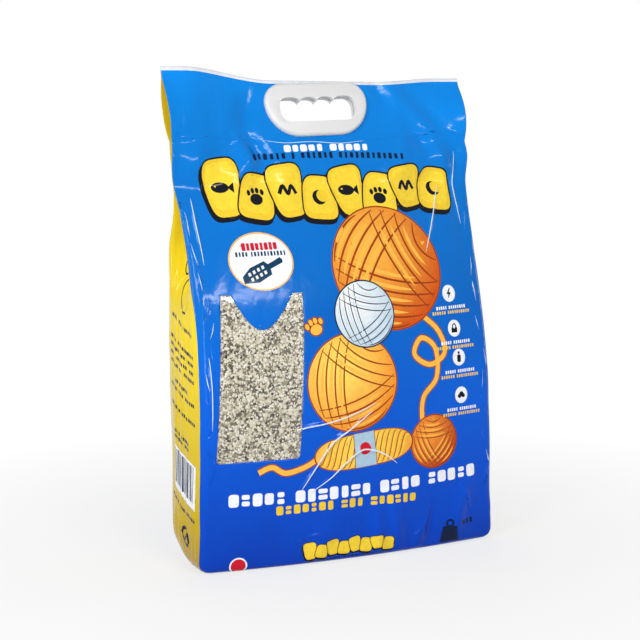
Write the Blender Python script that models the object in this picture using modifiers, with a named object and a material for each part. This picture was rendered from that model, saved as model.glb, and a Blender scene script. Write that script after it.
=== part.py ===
"""Cat litter bag: a side-gusseted film bag with a clear window, its litter and a two-part snap handle.

The bag stands on z = 0 with its front panel towards -Y. Lengths are in metres, angles in radians.
"""

import math

import bmesh
import bpy
from mathutils import Euler, Matrix, Vector

# Film tube
PANEL_WIDTH = 0.288  # front or back panel, from one edge crease to the other
GUSSET_HALF = 0.047  # one of the two leaves of a side gusset
FILM = 0.0004  # wall of the film
LAYER_GAP = 0.0003  # clearance between two layers that lie flat on each other
SEAL_HEIGHT = 0.366  # floor to the lower heat seal, which shuts the litter in
SEAL_BAND = 0.010  # how far the lower seal reaches down

# Filled body
BODY_DEPTH = 0.094  # front crease to back crease where the bag is fullest
FRONT_CROWN = 0.010  # how far the front panel bellies out between its creases
BACK_CROWN = 0.007
EDGE_RADIUS = 0.009  # roundness of the panel edges on the full body
GUSSET_BOW = 0.0035  # how far the litter pushes the side gusset out
FRONT_FOOT_RADIUS = 0.005  # roll of the film under the front
BACK_FOOT_RADIUS = 0.020
SIDE_FOOT_RADIUS = 0.006
FOOT_EDGE_RADIUS = 0.005  # roundness of the panel edges down at the foot
FOOT_LIFT = 0.020  # how far the gussets' back corners stand clear of the floor
FOOT_SEAM_OFFSET = -0.005  # the bottom seal lies a little in front of the middle
SEAM_INSET = 0.012  # the bottom seal ends this far inside the gussets
FOLD_DEPTH = 0.006  # deepest fold that the empty film has pressed into a panel
HEAD_SPACE = 0.066  # lower seal down to the litter
FILL_CROWN = 0.006  # rise of the heap in its middle
FILL_CLEARANCE = 0.0010  # litter to film

# Header
HEADER_LEAN = math.radians(17)  # the empty top leans back
SEAL_SETBACK = 0.0135  # the lower seal lies behind the middle of the body
HEADER_FLARE = 0.0086  # how far the header's side edges spring open
LEFT_EAR_RISE = 0.011  # the left top corner stands higher than the middle
RIGHT_EAR_RISE = 0.004
EDGE_RIPPLE = 0.0022  # waves of the free top edge

# Window
WINDOW_INSET = 0.0155  # left edge of the front panel to the window's foot
WINDOW_WIDTH = 0.0735
WINDOW_LEAN = math.radians(4.5)  # its sides lean to the right
WINDOW_BOTTOM = 0.0960
WINDOW_HEIGHT = 0.1410  # up to the tips of the two peaks
WINDOW_DIP = 0.0300  # depth of the hollow between the peaks
WINDOW_PEAK = 0.0090  # width of each peak's flat tip
WINDOW_CORNER = 0.0030
WINDOW_SEAM = 0.0003  # gap between the pane and the printed film

# Handle
FINGERS = 4
FINGER_PITCH = 0.0163
FINGER_DEPTH = 0.0042  # how far the cusps between the fingers reach down
SLOT_END = 0.0044  # slot beyond the outer fingers
SLOT_HEIGHT = 0.0226
SLOT_END_RADIUS = 0.0080
SLOT_FOOT_RADIUS = 0.0095
TOP_BAR = 0.0138
LOWER_BAR = 0.0128
SIDE_BAR = 0.0130
HANDLE_THICKNESS = 0.0100  # both halves and the film between them
HANDLE_SHOULDER = 0.018  # radius of the top corners
HANDLE_ROUND = 0.0035  # roundness of the grip's outer edges
SLOT_ROUND = 0.0014  # roundness of the finger slot's edges
HANDLE_OFFSET = -0.0028  # it sits a little left of the middle
HANDLE_TO_SEAL = 0.0045
HANDLE_TO_EDGE = 0.0022  # grip to the top edge of the film
HANDLE_SKEW = math.radians(2.3)
PIN_RADIUS = 0.0018
PIN_REACH = 0.0024  # how deep a pin goes into the front half
PIN_CLEARANCE = 0.0004
PLATE_CLEARANCE = 0.0003  # film to each half of the handle
FILM_HOLE_MARGIN = 0.0010  # the film's cut-out is this much larger than the finger slot

# Mesh steps
PANEL_STEPS = 20
ARC_STEPS = 3
LEAF_STEPS = 4
ROUND_STEPS = 6
LOWER_RINGS = 8  # sections of the full body
FINGER_STEPS = 6
UPPER_RINGS = 11  # sections of the creased top, under the seal

BLUE = (0.005, 0.150, 0.720, 1.0)
YELLOW = (0.800, 0.620, 0.020, 1.0)
GRANULE_GREY = (0.420, 0.410, 0.370, 1.0)
CLEAR = (0.900, 0.930, 0.950, 0.25)
WHITE = (0.800, 0.800, 0.790, 1.0)

SLOT_WIDTH = FINGERS * FINGER_PITCH + 2 * SLOT_END
HANDLE_WIDTH = SLOT_WIDTH + 2 * SIDE_BAR
HANDLE_HEIGHT = LOWER_BAR + SLOT_HEIGHT + TOP_BAR
SLOT_BOTTOM = LOWER_BAR - HANDLE_HEIGHT / 2
SLOT_TOP = HANDLE_HEIGHT / 2 - TOP_BAR
HANDLE_RISE = HANDLE_HEIGHT * math.cos(HEADER_LEAN)
HEADER_HEIGHT = HANDLE_TO_SEAL + HANDLE_RISE + HANDLE_TO_EDGE
FILL_HEIGHT = SEAL_HEIGHT - HEAD_SPACE
WINDOW_LEFT = WINDOW_INSET - PANEL_WIDTH / 2
WINDOW_RIGHT = WINDOW_LEFT + WINDOW_WIDTH
WINDOW_TOP = WINDOW_BOTTOM + WINDOW_HEIGHT
STACK_HALF = FILM + LAYER_GAP / 2  # half of two flat layers
LIP = 2 * FILM + LAYER_GAP  # panel and gusset leaf, flat on each other
PINCH_HALF = LIP + LAYER_GAP  # half of the four layers at a flat edge
LEAN_RISE = math.tan(HEADER_LEAN)


# Curves through a few stations

def through(stations, place):
    """Value at a place on a smooth curve through (place, value) stations."""
    if place <= stations[0][0]:
        return stations[0][1]
    for i in range(len(stations) - 1):
        start, end = stations[i], stations[i + 1]
        if place <= end[0]:
            before = stations[max(i - 1, 0)]
            after = stations[min(i + 2, len(stations) - 1)]
            span = end[0] - start[0]
            slope_in = (end[1] - before[1]) / (end[0] - before[0]) * span
            slope_out = (after[1] - start[1]) / (after[0] - start[0]) * span
            s = (place - start[0]) / span
            return (
                start[1] * (2 * s**3 - 3 * s**2 + 1)
                + slope_in * (s**3 - 2 * s**2 + s)
                + end[1] * (3 * s**2 - 2 * s**3)
                + slope_out * (s**3 - s**2)
            )
    return stations[-1][1]


def ease(low, high, value):
    """0 below low, 1 above high and smooth between them."""
    s = min(max((value - low) / (high - low), 0.0), 1.0)
    return s * s * (3 - 2 * s)


def mix(first, second, share):
    return first + (second - first) * share


# The stations give heights as shares of the lower seal's height, and depths as shares of half the body's
# depth.
FRONT_LINE = [(0, 0.92), (0.12, 0.97), (0.28, 1.0), (0.46, 0.94), (0.62, 0.71), (0.74, 0.38),
              (0.82, 0.10), (0.91, -0.19), (1.0, -0.24)]
BACK_LINE = [(0, 0.62), (0.12, 0.76), (0.30, 0.85), (0.55, 0.95), (0.68, 0.93), (0.75, 0.84),
             (0.82, 0.46), (0.89, 0.22), (1.0, 0.24)]
WAIST_LINE = [(0, 0.012), (0.15, 0.020), (0.50, 0.045), (0.72, 0.054), (0.84, 0.034), (0.94, 0.0),
              (1.0, 0.010)]
CROWN_LINE = [(0, 0.90), (0.10, 1.00), (0.35, 1.0), (0.65, 0.95), (0.82, 0.75), (0.92, 0.35), (1.0, 0.0)]
FLARE_LINE = [(0, 0.25), (0.17, 0.78), (0.35, 1.0), (0.55, 0.85), (0.72, 0.42), (0.86, 0.0), (1.0, 0.0)]


def rolled_under(radius, height):
    """How far a rounded foot of this radius has drawn in at a height."""
    if height >= radius:
        return 0.0
    return radius - math.sqrt(max(radius**2 - (radius - height) ** 2, 0.0))


def header_middle(height):
    """Depth of the header's middle plane at a height."""
    return SEAL_SETBACK + (height - SEAL_HEIGHT) * LEAN_RISE


class Level:
    """The measures of one horizontal section of the film tube."""

    def __init__(self, height):
        share = height / SEAL_HEIGHT
        in_header = max(height - SEAL_HEIGHT, 0.0) / HEADER_HEIGHT
        self.height = height
        self.flat = ease(1 - 4 * SEAL_BAND / SEAL_HEIGHT, 1 - SEAL_BAND / SEAL_HEIGHT, share)
        half_depth = BODY_DEPTH / 2
        front = -half_depth * through(FRONT_LINE, share) + rolled_under(FRONT_FOOT_RADIUS, height)
        back = half_depth * through(BACK_LINE, share) - rolled_under(BACK_FOOT_RADIUS, height)
        back = max(back, front + 2 * PINCH_HALF)
        flare = PINCH_HALF / math.cos(HEADER_LEAN)
        if share > 1:
            flare += HEADER_FLARE * through(FLARE_LINE, in_header)
        else:
            flare += HEADER_FLARE * FLARE_LINE[0][1] * self.flat**4
        middle = header_middle(height)
        self.front = mix(front, middle - flare, self.flat)
        self.back = mix(back, middle + flare, self.flat)
        self.middle = (self.front + self.back) / 2
        waist = BODY_DEPTH * through(WAIST_LINE, share) + rolled_under(SIDE_FOOT_RADIUS, height)
        self.half_width = PANEL_WIDTH / 2 - waist * (1 - in_header)
        full_radius = mix(FOOT_EDGE_RADIUS, EDGE_RADIUS, ease(0, 0.20, share))
        self.radius = mix(full_radius, LIP / 2, ease(0.62, 0.90, share))
        crown = through(CROWN_LINE, share)
        self.front_crown = FRONT_CROWN * crown
        self.back_crown = BACK_CROWN * crown
        gap = (self.back - self.front) / 2
        leaf = math.sqrt(max(GUSSET_HALF**2 - gap**2, 0.0))
        self.tuck = leaf * ease(0.56, 0.82, share)
        self.bow = GUSSET_BOW * (1 - ease(0.45, 0.66, share)) * ease(0, 0.12, share)


class Fold:
    """A soft valley or ridge pressed into a panel, long along its own direction."""

    def __init__(self, x, z, length, width, depth, turn=0.0):
        self.x = x
        self.z = z
        self.length = length
        self.width = width
        self.depth = depth * FOLD_DEPTH
        self.turn = math.radians(turn)

    def push(self, x, z):
        """How far inwards the fold presses the film at a place."""
        along = (z - self.z) * math.cos(self.turn) + (x - self.x) * math.sin(self.turn)
        across = (x - self.x) * math.cos(self.turn) - (z - self.z) * math.sin(self.turn)
        return self.depth * math.exp(-((along / self.length) ** 2) - (across / self.width) ** 2)


# Folds below the lower seal and along the foot, as the photograph shows them. Places are shares of the
# panel's half width and of the lower seal's height, and depths are shares of the deepest fold.
FRONT_FOLDS = [
    Fold(-0.46, 0.945, 0.055, 0.065, 1.00),
    Fold(-0.60, 0.900, 0.090, 0.075, -0.60, 25),
    Fold(-0.30, 0.900, 0.080, 0.080, -0.50, -10),
    Fold(0.72, 0.925, 0.070, 0.130, 0.97, -20),
    Fold(0.45, 0.900, 0.090, 0.080, -0.50, 10),
    Fold(0.93, 0.800, 0.120, 0.070, 0.33, -8),
    Fold(0.52, 0.060, 0.070, 0.060, 0.50, 15),
    Fold(0.30, 0.090, 0.070, 0.080, -0.27),
    Fold(0.05, 0.080, 0.080, 0.070, 0.30, -10),
    Fold(-0.55, 0.070, 0.080, 0.090, 0.23),
]
BACK_FOLDS = [
    Fold(-0.50, 0.930, 0.070, 0.080, 0.67, 15),
    Fold(0.40, 0.920, 0.070, 0.090, 0.67, -15),
    Fold(0.00, 0.900, 0.080, 0.070, -0.37),
    Fold(-0.35, 0.080, 0.080, 0.080, 0.33),
    Fold(0.45, 0.080, 0.080, 0.080, 0.33),
]


def pressed(folds, x, height, level):
    """How far a panel's folds press it inwards at a place, fading out at the seal, the edges and the foot."""
    across = x / level.half_width
    up = height / SEAL_HEIGHT
    fade = (1 - level.flat) * ease(0.0, 0.04, up) * (1 - ease(0.86, 1.0, abs(across)))
    return fade * sum(fold.push(across, up) for fold in folds)


def ripple(x, in_header):
    """Waves of the header beside the handle, growing towards the free top edge."""
    clear_of_handle = ease(HANDLE_WIDTH * 0.56, HANDLE_WIDTH * 0.80, abs(x - HANDLE_OFFSET))
    wave = math.sin(x / PANEL_WIDTH * 20 + 0.6) + 0.35 * math.sin(x / PANEL_WIDTH * 33)
    return EDGE_RIPPLE * wave * clear_of_handle * ease(0.1, 1.0, in_header)


def top_rise(x):
    """How much higher than its middle the top edge stands at x."""
    half = PANEL_WIDTH / 2
    left = LEFT_EAR_RISE * ease(HANDLE_WIDTH * 0.42 / half, 0.86, -x / half)
    right = RIGHT_EAR_RISE * ease(HANDLE_WIDTH * 0.60 / half, 0.86, x / half)
    return left + right


def foot_lift(point):
    """How far the foot stands clear of the floor at a point of its plan: only at the back corners."""
    sideways = ease(0.70, 1.0, abs(point.x) / (PANEL_WIDTH / 2))
    backwards = ease(-0.30, 0.90, point.y / (BODY_DEPTH / 2))
    return FOOT_LIFT * sideways * backwards


def panel_depth(level, x, side):
    """Depth of the front (side -1) or back (side 1) panel at x."""
    edge = level.front if side < 0 else level.back
    crown = level.front_crown if side < 0 else level.back_crown
    reach = level.half_width - level.radius
    body = edge + side * crown * (1 - (x / reach) ** 2)
    stack = STACK_HALF / math.cos(HEADER_LEAN)
    thick = PINCH_HALF / math.cos(HEADER_LEAN)
    from_edge = level.half_width - abs(x)
    middle = header_middle(level.height)
    lip_end = middle + side * thick
    if from_edge < level.tuck:
        flat = mix(edge, lip_end, from_edge / max(level.tuck, FILM))
    else:
        flat = mix(lip_end, middle + side * stack, ease(0, 8 * LIP, from_edge - level.tuck))
    return mix(body, flat, level.flat)


def left_gusset(level, side):
    """Points of the left edge on one side: the gusset's leaf from its valley, then the edge's arc."""
    edge = level.front if side < 0 else level.back
    radius = level.radius
    centre = Vector((-level.half_width + radius, edge - side * radius))
    valley = Vector((-level.half_width + level.tuck, level.middle + side * LAYER_GAP / 2))
    turn = math.atan2(level.tuck, abs(valley.y - centre.y))
    points = []
    start = centre + radius * Vector((-math.cos(turn), -side * math.sin(turn)))
    for i in range(LEAF_STEPS):
        share = i / LEAF_STEPS
        point = valley.lerp(start, share)
        point.x -= level.bow * (1 - share**2)
        points.append(point)
    for i in range(ARC_STEPS + 1):
        angle = mix(-turn, math.pi / 2, i / ARC_STEPS)
        points.append(centre + radius * Vector((-math.cos(angle), side * math.sin(angle))))
    return points


def half_ring(level, side):
    """Points of the front or back half of a section, from the left valley to the right one."""
    left = left_gusset(level, side)
    right = [Vector((-p.x, p.y)) for p in reversed(left)]
    reach = level.half_width - level.radius
    panel = []
    for i in range(1, PANEL_STEPS):
        x = reach * math.sin(math.pi / 2 * mix(-1, 1, i / PANEL_STEPS) * 0.9) / math.sin(math.pi / 2 * 0.9)
        panel.append(Vector((x, panel_depth(level, x, side))))
    return left + panel + right


def folded(point, level):
    """Depth that the folds of both panels give a point: the layers between them move along, so none cross."""
    share = (point.y - level.front) / (level.back - level.front)
    share = min(max(share, 0.0), 1.0)
    from_front = pressed(FRONT_FOLDS, point.x, level.height, level) * (1 - share)
    from_back = pressed(BACK_FOLDS, point.x, level.height, level) * share
    return point.y + from_front - from_back


def section(height):
    """Closed section of the tube: the front from left to right, then the back from right to left."""
    level = Level(height)
    flat_points = half_ring(level, -1) + list(reversed(half_ring(level, 1)))
    in_header = max(height - SEAL_HEIGHT, 0.0) / HEADER_HEIGHT
    ring = []
    near_foot = max(1 - height / (3 * FOOT_LIFT), 0)
    for point in flat_points:
        rise = in_header * top_rise(point.x)
        z = height + rise + near_foot * foot_lift(point)
        lean = rise * LEAN_RISE
        ring.append(Vector((point.x, folded(point, level) + lean + ripple(point.x, in_header), z)))
    return ring


def foot_rings(lowest):
    """Rings of the foot, from the bottom seal out to the lowest section."""
    rings = []
    for share in (0.0, 0.12, 0.50):
        shorter = 1 - SEAM_INSET / (PANEL_WIDTH / 2) * (1 - share)
        ring = [Vector((p.x * shorter, mix(FOOT_SEAM_OFFSET, p.y, share), 0)) for p in lowest]
        for point in ring:
            point.z = foot_lift(point)
        rings.append(ring)
    return rings


# Building blocks

def new_object(name, mesh, collection):
    made = bpy.data.objects.new(name, mesh)
    collection.objects.link(made)
    return made


def loft(name, rings, collection, gusset_columns=()):
    """A tube through rings of as many points each. The gussets' columns take the second material."""
    mesh = bpy.data.meshes.new(name)
    shape = bmesh.new()
    rows = [[shape.verts.new(point) for point in ring] for ring in rings]
    count = len(rows[0])
    for lower, upper in zip(rows, rows[1:]):
        for i in range(count):
            j = (i + 1) % count
            face = shape.faces.new((lower[i], lower[j], upper[j], upper[i]))
            face.material_index = int(i in gusset_columns)
    bmesh.ops.remove_doubles(shape, verts=shape.verts, dist=FILM / 100)
    loose = [edge for edge in shape.edges if not edge.link_faces]
    bmesh.ops.delete(shape, geom=loose, context="EDGES")
    shape.to_mesh(mesh)
    shape.free()
    return new_object(name, mesh, collection)


def outline_prism(name, points, half_depth, collection, round_edge=0.0):
    """A flat outline in the XZ plane made into a slab along Y, with rounded rims if asked."""
    curve = bpy.data.curves.new(name, "CURVE")
    curve.dimensions = "2D"
    curve.fill_mode = "BOTH"
    curve.extrude = half_depth - round_edge
    curve.bevel_depth = round_edge
    curve.bevel_resolution = 2 if round_edge else 0
    curve.offset = -round_edge
    spline = curve.splines.new("POLY")
    spline.points.add(len(points) - 1)
    for target, (x, z) in zip(spline.points, points):
        target.co = (x, z, 0, 1)
    spline.use_cyclic_u = True
    drawn = new_object(name + "_outline", curve, collection)
    bpy.context.view_layer.update()
    evaluated = drawn.evaluated_get(bpy.context.evaluated_depsgraph_get())
    mesh = bpy.data.meshes.new_from_object(evaluated)
    bpy.data.objects.remove(drawn)
    shape = bmesh.new()
    shape.from_mesh(mesh)
    bmesh.ops.remove_doubles(shape, verts=shape.verts, dist=FILM / 100)
    bmesh.ops.transform(shape, matrix=Matrix.Rotation(math.pi / 2, 4, "X"), verts=shape.verts)
    bmesh.ops.recalc_face_normals(shape, faces=shape.faces)
    shape.to_mesh(mesh)
    shape.free()
    return new_object(name, mesh, collection)


def arc(centre_x, centre_z, radius, start, end, steps=ROUND_STEPS):
    """Points of an arc in the XZ plane, angles in degrees."""
    points = []
    for i in range(steps + 1):
        angle = math.radians(mix(start, end, i / steps))
        points.append((centre_x + radius * math.cos(angle), centre_z + radius * math.sin(angle)))
    return points


def combine(target, other, operation):
    """A Boolean modifier on target."""
    modifier = target.modifiers.new(other.name, "BOOLEAN")
    modifier.operation = operation
    modifier.object = other
    modifier.solver = "EXACT"


def as_helper(helper):
    helper.hide_render = True
    helper.display_type = "WIRE"


def coloured(name, colour, roughness, transmission=0.0):
    """A plain Principled material."""
    material = bpy.data.materials.new(name)
    material.use_nodes = True
    shader = material.node_tree.nodes["Principled BSDF"]
    shader.inputs["Base Color"].default_value = colour
    shader.inputs["Roughness"].default_value = roughness
    shader.inputs["Metallic"].default_value = 0.0
    shader.inputs["Transmission Weight"].default_value = transmission
    shader.inputs["Alpha"].default_value = colour[3]
    return material


# Film

def body_heights():
    """Heights of the sections from the foot to the lower seal, closer where the film bends most."""
    heights = [BACK_FOOT_RADIUS * share for share in (0.0, 0.08, 0.30, 0.65)]
    full_start = BACK_FOOT_RADIUS * 1.15
    full_end = SEAL_HEIGHT * 0.66
    seal_start = SEAL_HEIGHT - SEAL_BAND
    heights += [mix(full_start, full_end, i / LOWER_RINGS) for i in range(LOWER_RINGS)]
    heights += [mix(full_end, seal_start, i / UPPER_RINGS) for i in range(UPPER_RINGS + 1)]
    return heights + [mix(seal_start, SEAL_HEIGHT, 0.6)]


def header_heights():
    shares = [0.0, 0.15, 0.30, 0.48, 0.66, 0.82, 0.92, 1.0]
    return [SEAL_HEIGHT + HEADER_HEIGHT * share for share in shares]


def make_film(collection):
    """The printed film: one folded tube, closed below by the bottom seal and flat at the top."""
    rings = [section(height) for height in body_heights() + header_heights()]
    count = len(rings[0])
    leaf = LEAF_STEPS + 1
    middle = count // 2
    right_gusset = set(range(middle - leaf - 1, middle + leaf))
    left_gusset_columns = set(range(leaf)) | set(range(count - leaf - 1, count))
    gussets = left_gusset_columns | right_gusset
    film = loft("film_bag", foot_rings(rings[0]) + rings, collection, gussets)
    wall = film.modifiers.new("film wall", "SOLIDIFY")
    wall.thickness = FILM
    wall.offset = -1
    film.data.shade_smooth()
    return film


def colour_film(film):
    """Blue panels with yellow gussets."""
    film.data.materials.append(coloured("blue film", BLUE, 0.28))
    film.data.materials.append(coloured("yellow film", YELLOW, 0.30))


# Litter

def heaped(ring, share):
    """The ring drawn in towards a line along its middle, which ends clear of the gussets."""
    level = Level(FILL_HEIGHT)
    reach = level.half_width - 2 * level.tuck - BODY_DEPTH / 2
    points = []
    for point in ring:
        target = Vector((min(max(point.x, -reach), reach), level.middle, FILL_HEIGHT + FILL_CROWN))
        points.append(target.lerp(point, share))
    return points


def make_litter(collection):
    """The heap of granules that fills the film up to the fill height."""
    heights = [height for height in body_heights() if height < FILL_HEIGHT - FILL_CROWN] + [FILL_HEIGHT]
    rings = [section(height) for height in heights]
    crown = [heaped(rings[-1], share) for share in (0.75, 0.40, 0.0)]
    litter = loft("litter", foot_rings(rings[0]) + rings + crown, collection)
    inset = litter.modifiers.new("clear of the film", "DISPLACE")
    inset.mid_level = 0.0
    inset.strength = -(FILM + FILL_CLEARANCE)
    litter.data.shade_smooth()
    litter.data.materials.append(coloured("granules", GRANULE_GREY, 0.9))
    return litter


# Window

def window_outline(margin):
    """The window's outline, grown by a margin: an upright field with two peaks and a hollow between them."""
    left = WINDOW_LEFT - margin
    right = WINDOW_RIGHT + margin
    bottom = WINDOW_BOTTOM - margin
    top = WINDOW_TOP + margin
    corner = WINDOW_CORNER + margin
    points = arc(left + corner, bottom + corner, corner, 180, 270, 3)
    points += arc(right - corner, bottom + corner, corner, 270, 360, 3)
    points.append((right, top))
    hollow_left = WINDOW_LEFT + WINDOW_PEAK + margin
    hollow_right = WINDOW_RIGHT - WINDOW_PEAK - margin
    steps = 2 * ROUND_STEPS
    for i in range(steps + 1):
        x = mix(hollow_right, hollow_left, i / steps)
        points.append((x, top - WINDOW_DIP * math.sin(math.pi * i / steps)))
    points.append((left, top))
    return [(x + (z - bottom) * math.tan(WINDOW_LEAN), z) for x, z in points]


def window_cutter(name, margin, collection):
    """A prism of the window's outline that passes through the front wall only."""
    cutter = outline_prism(name, window_outline(margin), BODY_DEPTH / 2, collection)
    cutter.location.y = -BODY_DEPTH * 0.65
    as_helper(cutter)
    return cutter


def make_window(film, parts, cutters):
    """Cuts the window out of the printed film and fills it with a clear pane of the same wall."""
    pane = film.copy()
    pane.data = film.data.copy()
    pane.name = "window_film"
    parts.objects.link(pane)
    combine(film, window_cutter("window_hole", 0.0, cutters), "DIFFERENCE")
    combine(pane, window_cutter("window_pane", -WINDOW_SEAM, cutters), "INTERSECT")
    pane.data.materials.clear()
    pane.data.materials.append(coloured("clear film", CLEAR, 0.12, 0.6))
    return pane


# Handle

def grip_outline():
    """Outer outline of the handle: a flat top with round shoulders, and a deeper curve below."""
    half = HANDLE_WIDTH / 2
    top = HANDLE_HEIGHT / 2
    shoulder_z = top - HANDLE_SHOULDER
    jaw = HANDLE_HEIGHT - HANDLE_SHOULDER
    points = arc(half - HANDLE_SHOULDER, shoulder_z, HANDLE_SHOULDER, 0, 90)
    points += arc(HANDLE_SHOULDER - half, shoulder_z, HANDLE_SHOULDER, 90, 180)
    points += arc(jaw - half, shoulder_z, jaw, 180, 270)[1:]
    points += arc(half - jaw, shoulder_z, jaw, 270, 360)[:-1]
    return points


def slot_outline(margin=0.0):
    """Finger slot: a straight lower edge, round ends and a row of finger arches along the top."""
    half = SLOT_WIDTH / 2
    points = []
    for finger in range(FINGERS):
        start = (finger - FINGERS / 2) * FINGER_PITCH
        for i in range(FINGER_STEPS):
            if finger == 0 and i < FINGER_STEPS // 2:
                continue
            if finger == FINGERS - 1 and i > FINGER_STEPS // 2:
                continue
            angle = math.pi * i / FINGER_STEPS
            x = start + FINGER_PITCH / 2 * (1 - math.cos(angle))
            points.append((x, SLOT_TOP - FINGER_DEPTH * (1 - math.sin(angle)) + margin))
    end_x = half - SLOT_END_RADIUS
    foot_x = half - SLOT_FOOT_RADIUS
    end_z = SLOT_TOP - SLOT_END_RADIUS
    foot_z = SLOT_BOTTOM + SLOT_FOOT_RADIUS
    points += arc(end_x, end_z, SLOT_END_RADIUS + margin, 90, 0)
    points += arc(foot_x, foot_z, SLOT_FOOT_RADIUS + margin, 0, -90)
    points += arc(-foot_x, foot_z, SLOT_FOOT_RADIUS + margin, -90, -180)
    points += arc(-end_x, end_z, SLOT_END_RADIUS + margin, 180, 90)
    return points


def pin_places():
    """Middles of the pins, in the handle's own plane."""
    half = HANDLE_WIDTH / 2
    top = HANDLE_HEIGHT / 2
    side_x = (half + SLOT_WIDTH / 2) / 2
    upper_z = (top + SLOT_TOP) / 2
    lower_z = (SLOT_BOTTOM - top) / 2
    side_z = top - HANDLE_SHOULDER
    spread = SLOT_WIDTH * 0.3
    return [(side_x, side_z), (-side_x, side_z), (spread, upper_z), (-spread, upper_z),
            (spread, lower_z), (-spread, lower_z)]


def round_bar(name, radius, near, far, place, collection, sides=12):
    """A round bar along Y from near to far."""
    bpy.ops.mesh.primitive_cylinder_add(
        vertices=sides, radius=radius, depth=far - near,
        location=(place[0], (near + far) / 2, place[1]), rotation=(math.pi / 2, 0, 0),
    )
    bar = bpy.context.object
    bar.name = name
    bpy.context.view_layer.update()
    bar.data.transform(bar.matrix_world)
    bar.matrix_world = Matrix.Identity(4)
    for owner in list(bar.users_collection):
        owner.objects.unlink(bar)
    collection.objects.link(bar)
    return bar


def half_space(name, side, collection):
    """A box that covers one side of the film stack."""
    clear = STACK_HALF + PLATE_CLEARANCE
    bpy.ops.mesh.primitive_cube_add(size=1)
    box = bpy.context.object
    box.name = name
    size = 2 * HANDLE_WIDTH
    box.data.transform(Matrix.Diagonal((size, size, size, 1)))
    box.data.transform(Matrix.Translation((0, side * (clear + size / 2), 0)))
    for owner in list(box.users_collection):
        owner.objects.unlink(box)
    collection.objects.link(box)
    return box


def make_handle(frame, parts, cutters):
    """Front half with blind sockets and back half with pins, both cut from one rounded ring."""
    halves = []
    pin_near = -(STACK_HALF + PLATE_CLEARANCE + PIN_REACH)
    for name, side in (("handle_front", -1), ("handle_back", 1)):
        half = outline_prism(name, grip_outline(), HANDLE_THICKNESS / 2, parts, HANDLE_ROUND)
        slot = outline_prism(name + "_slot", slot_outline(), HANDLE_THICKNESS, cutters)
        combine(half, slot, "DIFFERENCE")
        rims = half.modifiers.new("slot rims", "BEVEL")
        rims.width = SLOT_ROUND
        rims.segments = 2
        rims.limit_method = "ANGLE"
        rims.angle_limit = math.radians(65)
        space = half_space(name + "_space", side, cutters)
        combine(half, space, "INTERSECT")
        for helper in (slot, space):
            helper.parent = frame
            as_helper(helper)
        for number, place in enumerate(pin_places()):
            if side < 0:
                socket = round_bar(f"socket_{number}", PIN_RADIUS + PIN_CLEARANCE, pin_near - PIN_CLEARANCE,
                                   0, place, cutters)
                combine(half, socket, "DIFFERENCE")
                tool = socket
            else:
                pin = round_bar(f"pin_{number}", PIN_RADIUS, pin_near, HANDLE_THICKNESS / 4, place, cutters)
                combine(half, pin, "UNION")
                tool = pin
            tool.parent = frame
            as_helper(tool)
        half.parent = frame
        half.data.materials.append(coloured(name + " plastic", WHITE, 0.35))
        halves.append(half)
    return halves


def cut_film_for_handle(film, frame, cutters):
    """The finger slot and the pin holes in both layers of the header."""
    reach = HANDLE_THICKNESS
    slot = outline_prism("film_slot", slot_outline(FILM_HOLE_MARGIN), reach, cutters)
    tools = [slot]
    for number, place in enumerate(pin_places()):
        radius = PIN_RADIUS + PIN_CLEARANCE
        tools.append(round_bar(f"film_hole_{number}", radius, -reach, reach, place, cutters))
    for tool in tools:
        tool.parent = frame
        as_helper(tool)
        combine(film, tool, "DIFFERENCE")


def handle_frame(collection):
    """An empty on the header's middle plane, turned as the handle is."""
    frame = bpy.data.objects.new("handle_frame", None)
    height = SEAL_HEIGHT + HANDLE_TO_SEAL + HANDLE_RISE / 2
    frame.location = (HANDLE_OFFSET, header_middle(height), height)
    tilt = Euler((-HEADER_LEAN, 0, 0)).to_matrix() @ Euler((0, -HANDLE_SKEW, 0)).to_matrix()
    frame.rotation_euler = tilt.to_euler()
    collection.objects.link(frame)
    bpy.context.view_layer.update()
    return frame


def main():
    for existing in list(bpy.data.objects):
        bpy.data.objects.remove(existing)
    parts = bpy.data.collections.new("cat_litter_bag")
    cutters = bpy.data.collections.new("cutters")
    for collection in (parts, cutters):
        bpy.context.scene.collection.children.link(collection)
    frame = handle_frame(parts)
    film = make_film(parts)
    make_litter(parts)
    make_window(film, parts, cutters)
    colour_film(film)
    cut_film_for_handle(film, frame, cutters)
    for half in make_handle(frame, parts, cutters):
        half.data.shade_smooth()


main()
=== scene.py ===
"""Looks of the cat litter bag: the printed glossy film, its window, the granules and the carry handle.

Everything is in metres in the frame of the solids: X across the front panel, -Y towards the viewer, Z up.
"""

import logging
import math
from dataclasses import dataclass, field
from enum import Enum
from functools import lru_cache
from typing import ClassVar

import bmesh
import bpy
import numpy as np
from mathutils import Euler, Matrix, Vector, noise
from mathutils.geometry import delaunay_2d_cdt


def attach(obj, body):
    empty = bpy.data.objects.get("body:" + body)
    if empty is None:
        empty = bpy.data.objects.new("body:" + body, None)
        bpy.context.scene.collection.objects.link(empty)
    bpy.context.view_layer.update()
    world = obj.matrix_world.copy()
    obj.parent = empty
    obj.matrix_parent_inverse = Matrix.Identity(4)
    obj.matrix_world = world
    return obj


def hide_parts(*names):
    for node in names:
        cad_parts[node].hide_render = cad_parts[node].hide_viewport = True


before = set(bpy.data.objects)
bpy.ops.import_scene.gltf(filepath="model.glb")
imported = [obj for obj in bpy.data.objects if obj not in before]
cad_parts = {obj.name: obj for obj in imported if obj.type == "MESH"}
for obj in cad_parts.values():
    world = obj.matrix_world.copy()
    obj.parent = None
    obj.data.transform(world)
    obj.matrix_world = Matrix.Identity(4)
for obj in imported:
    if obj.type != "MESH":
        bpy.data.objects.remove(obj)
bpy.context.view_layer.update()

LOG = logging.getLogger("cat_litter_bag")

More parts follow.
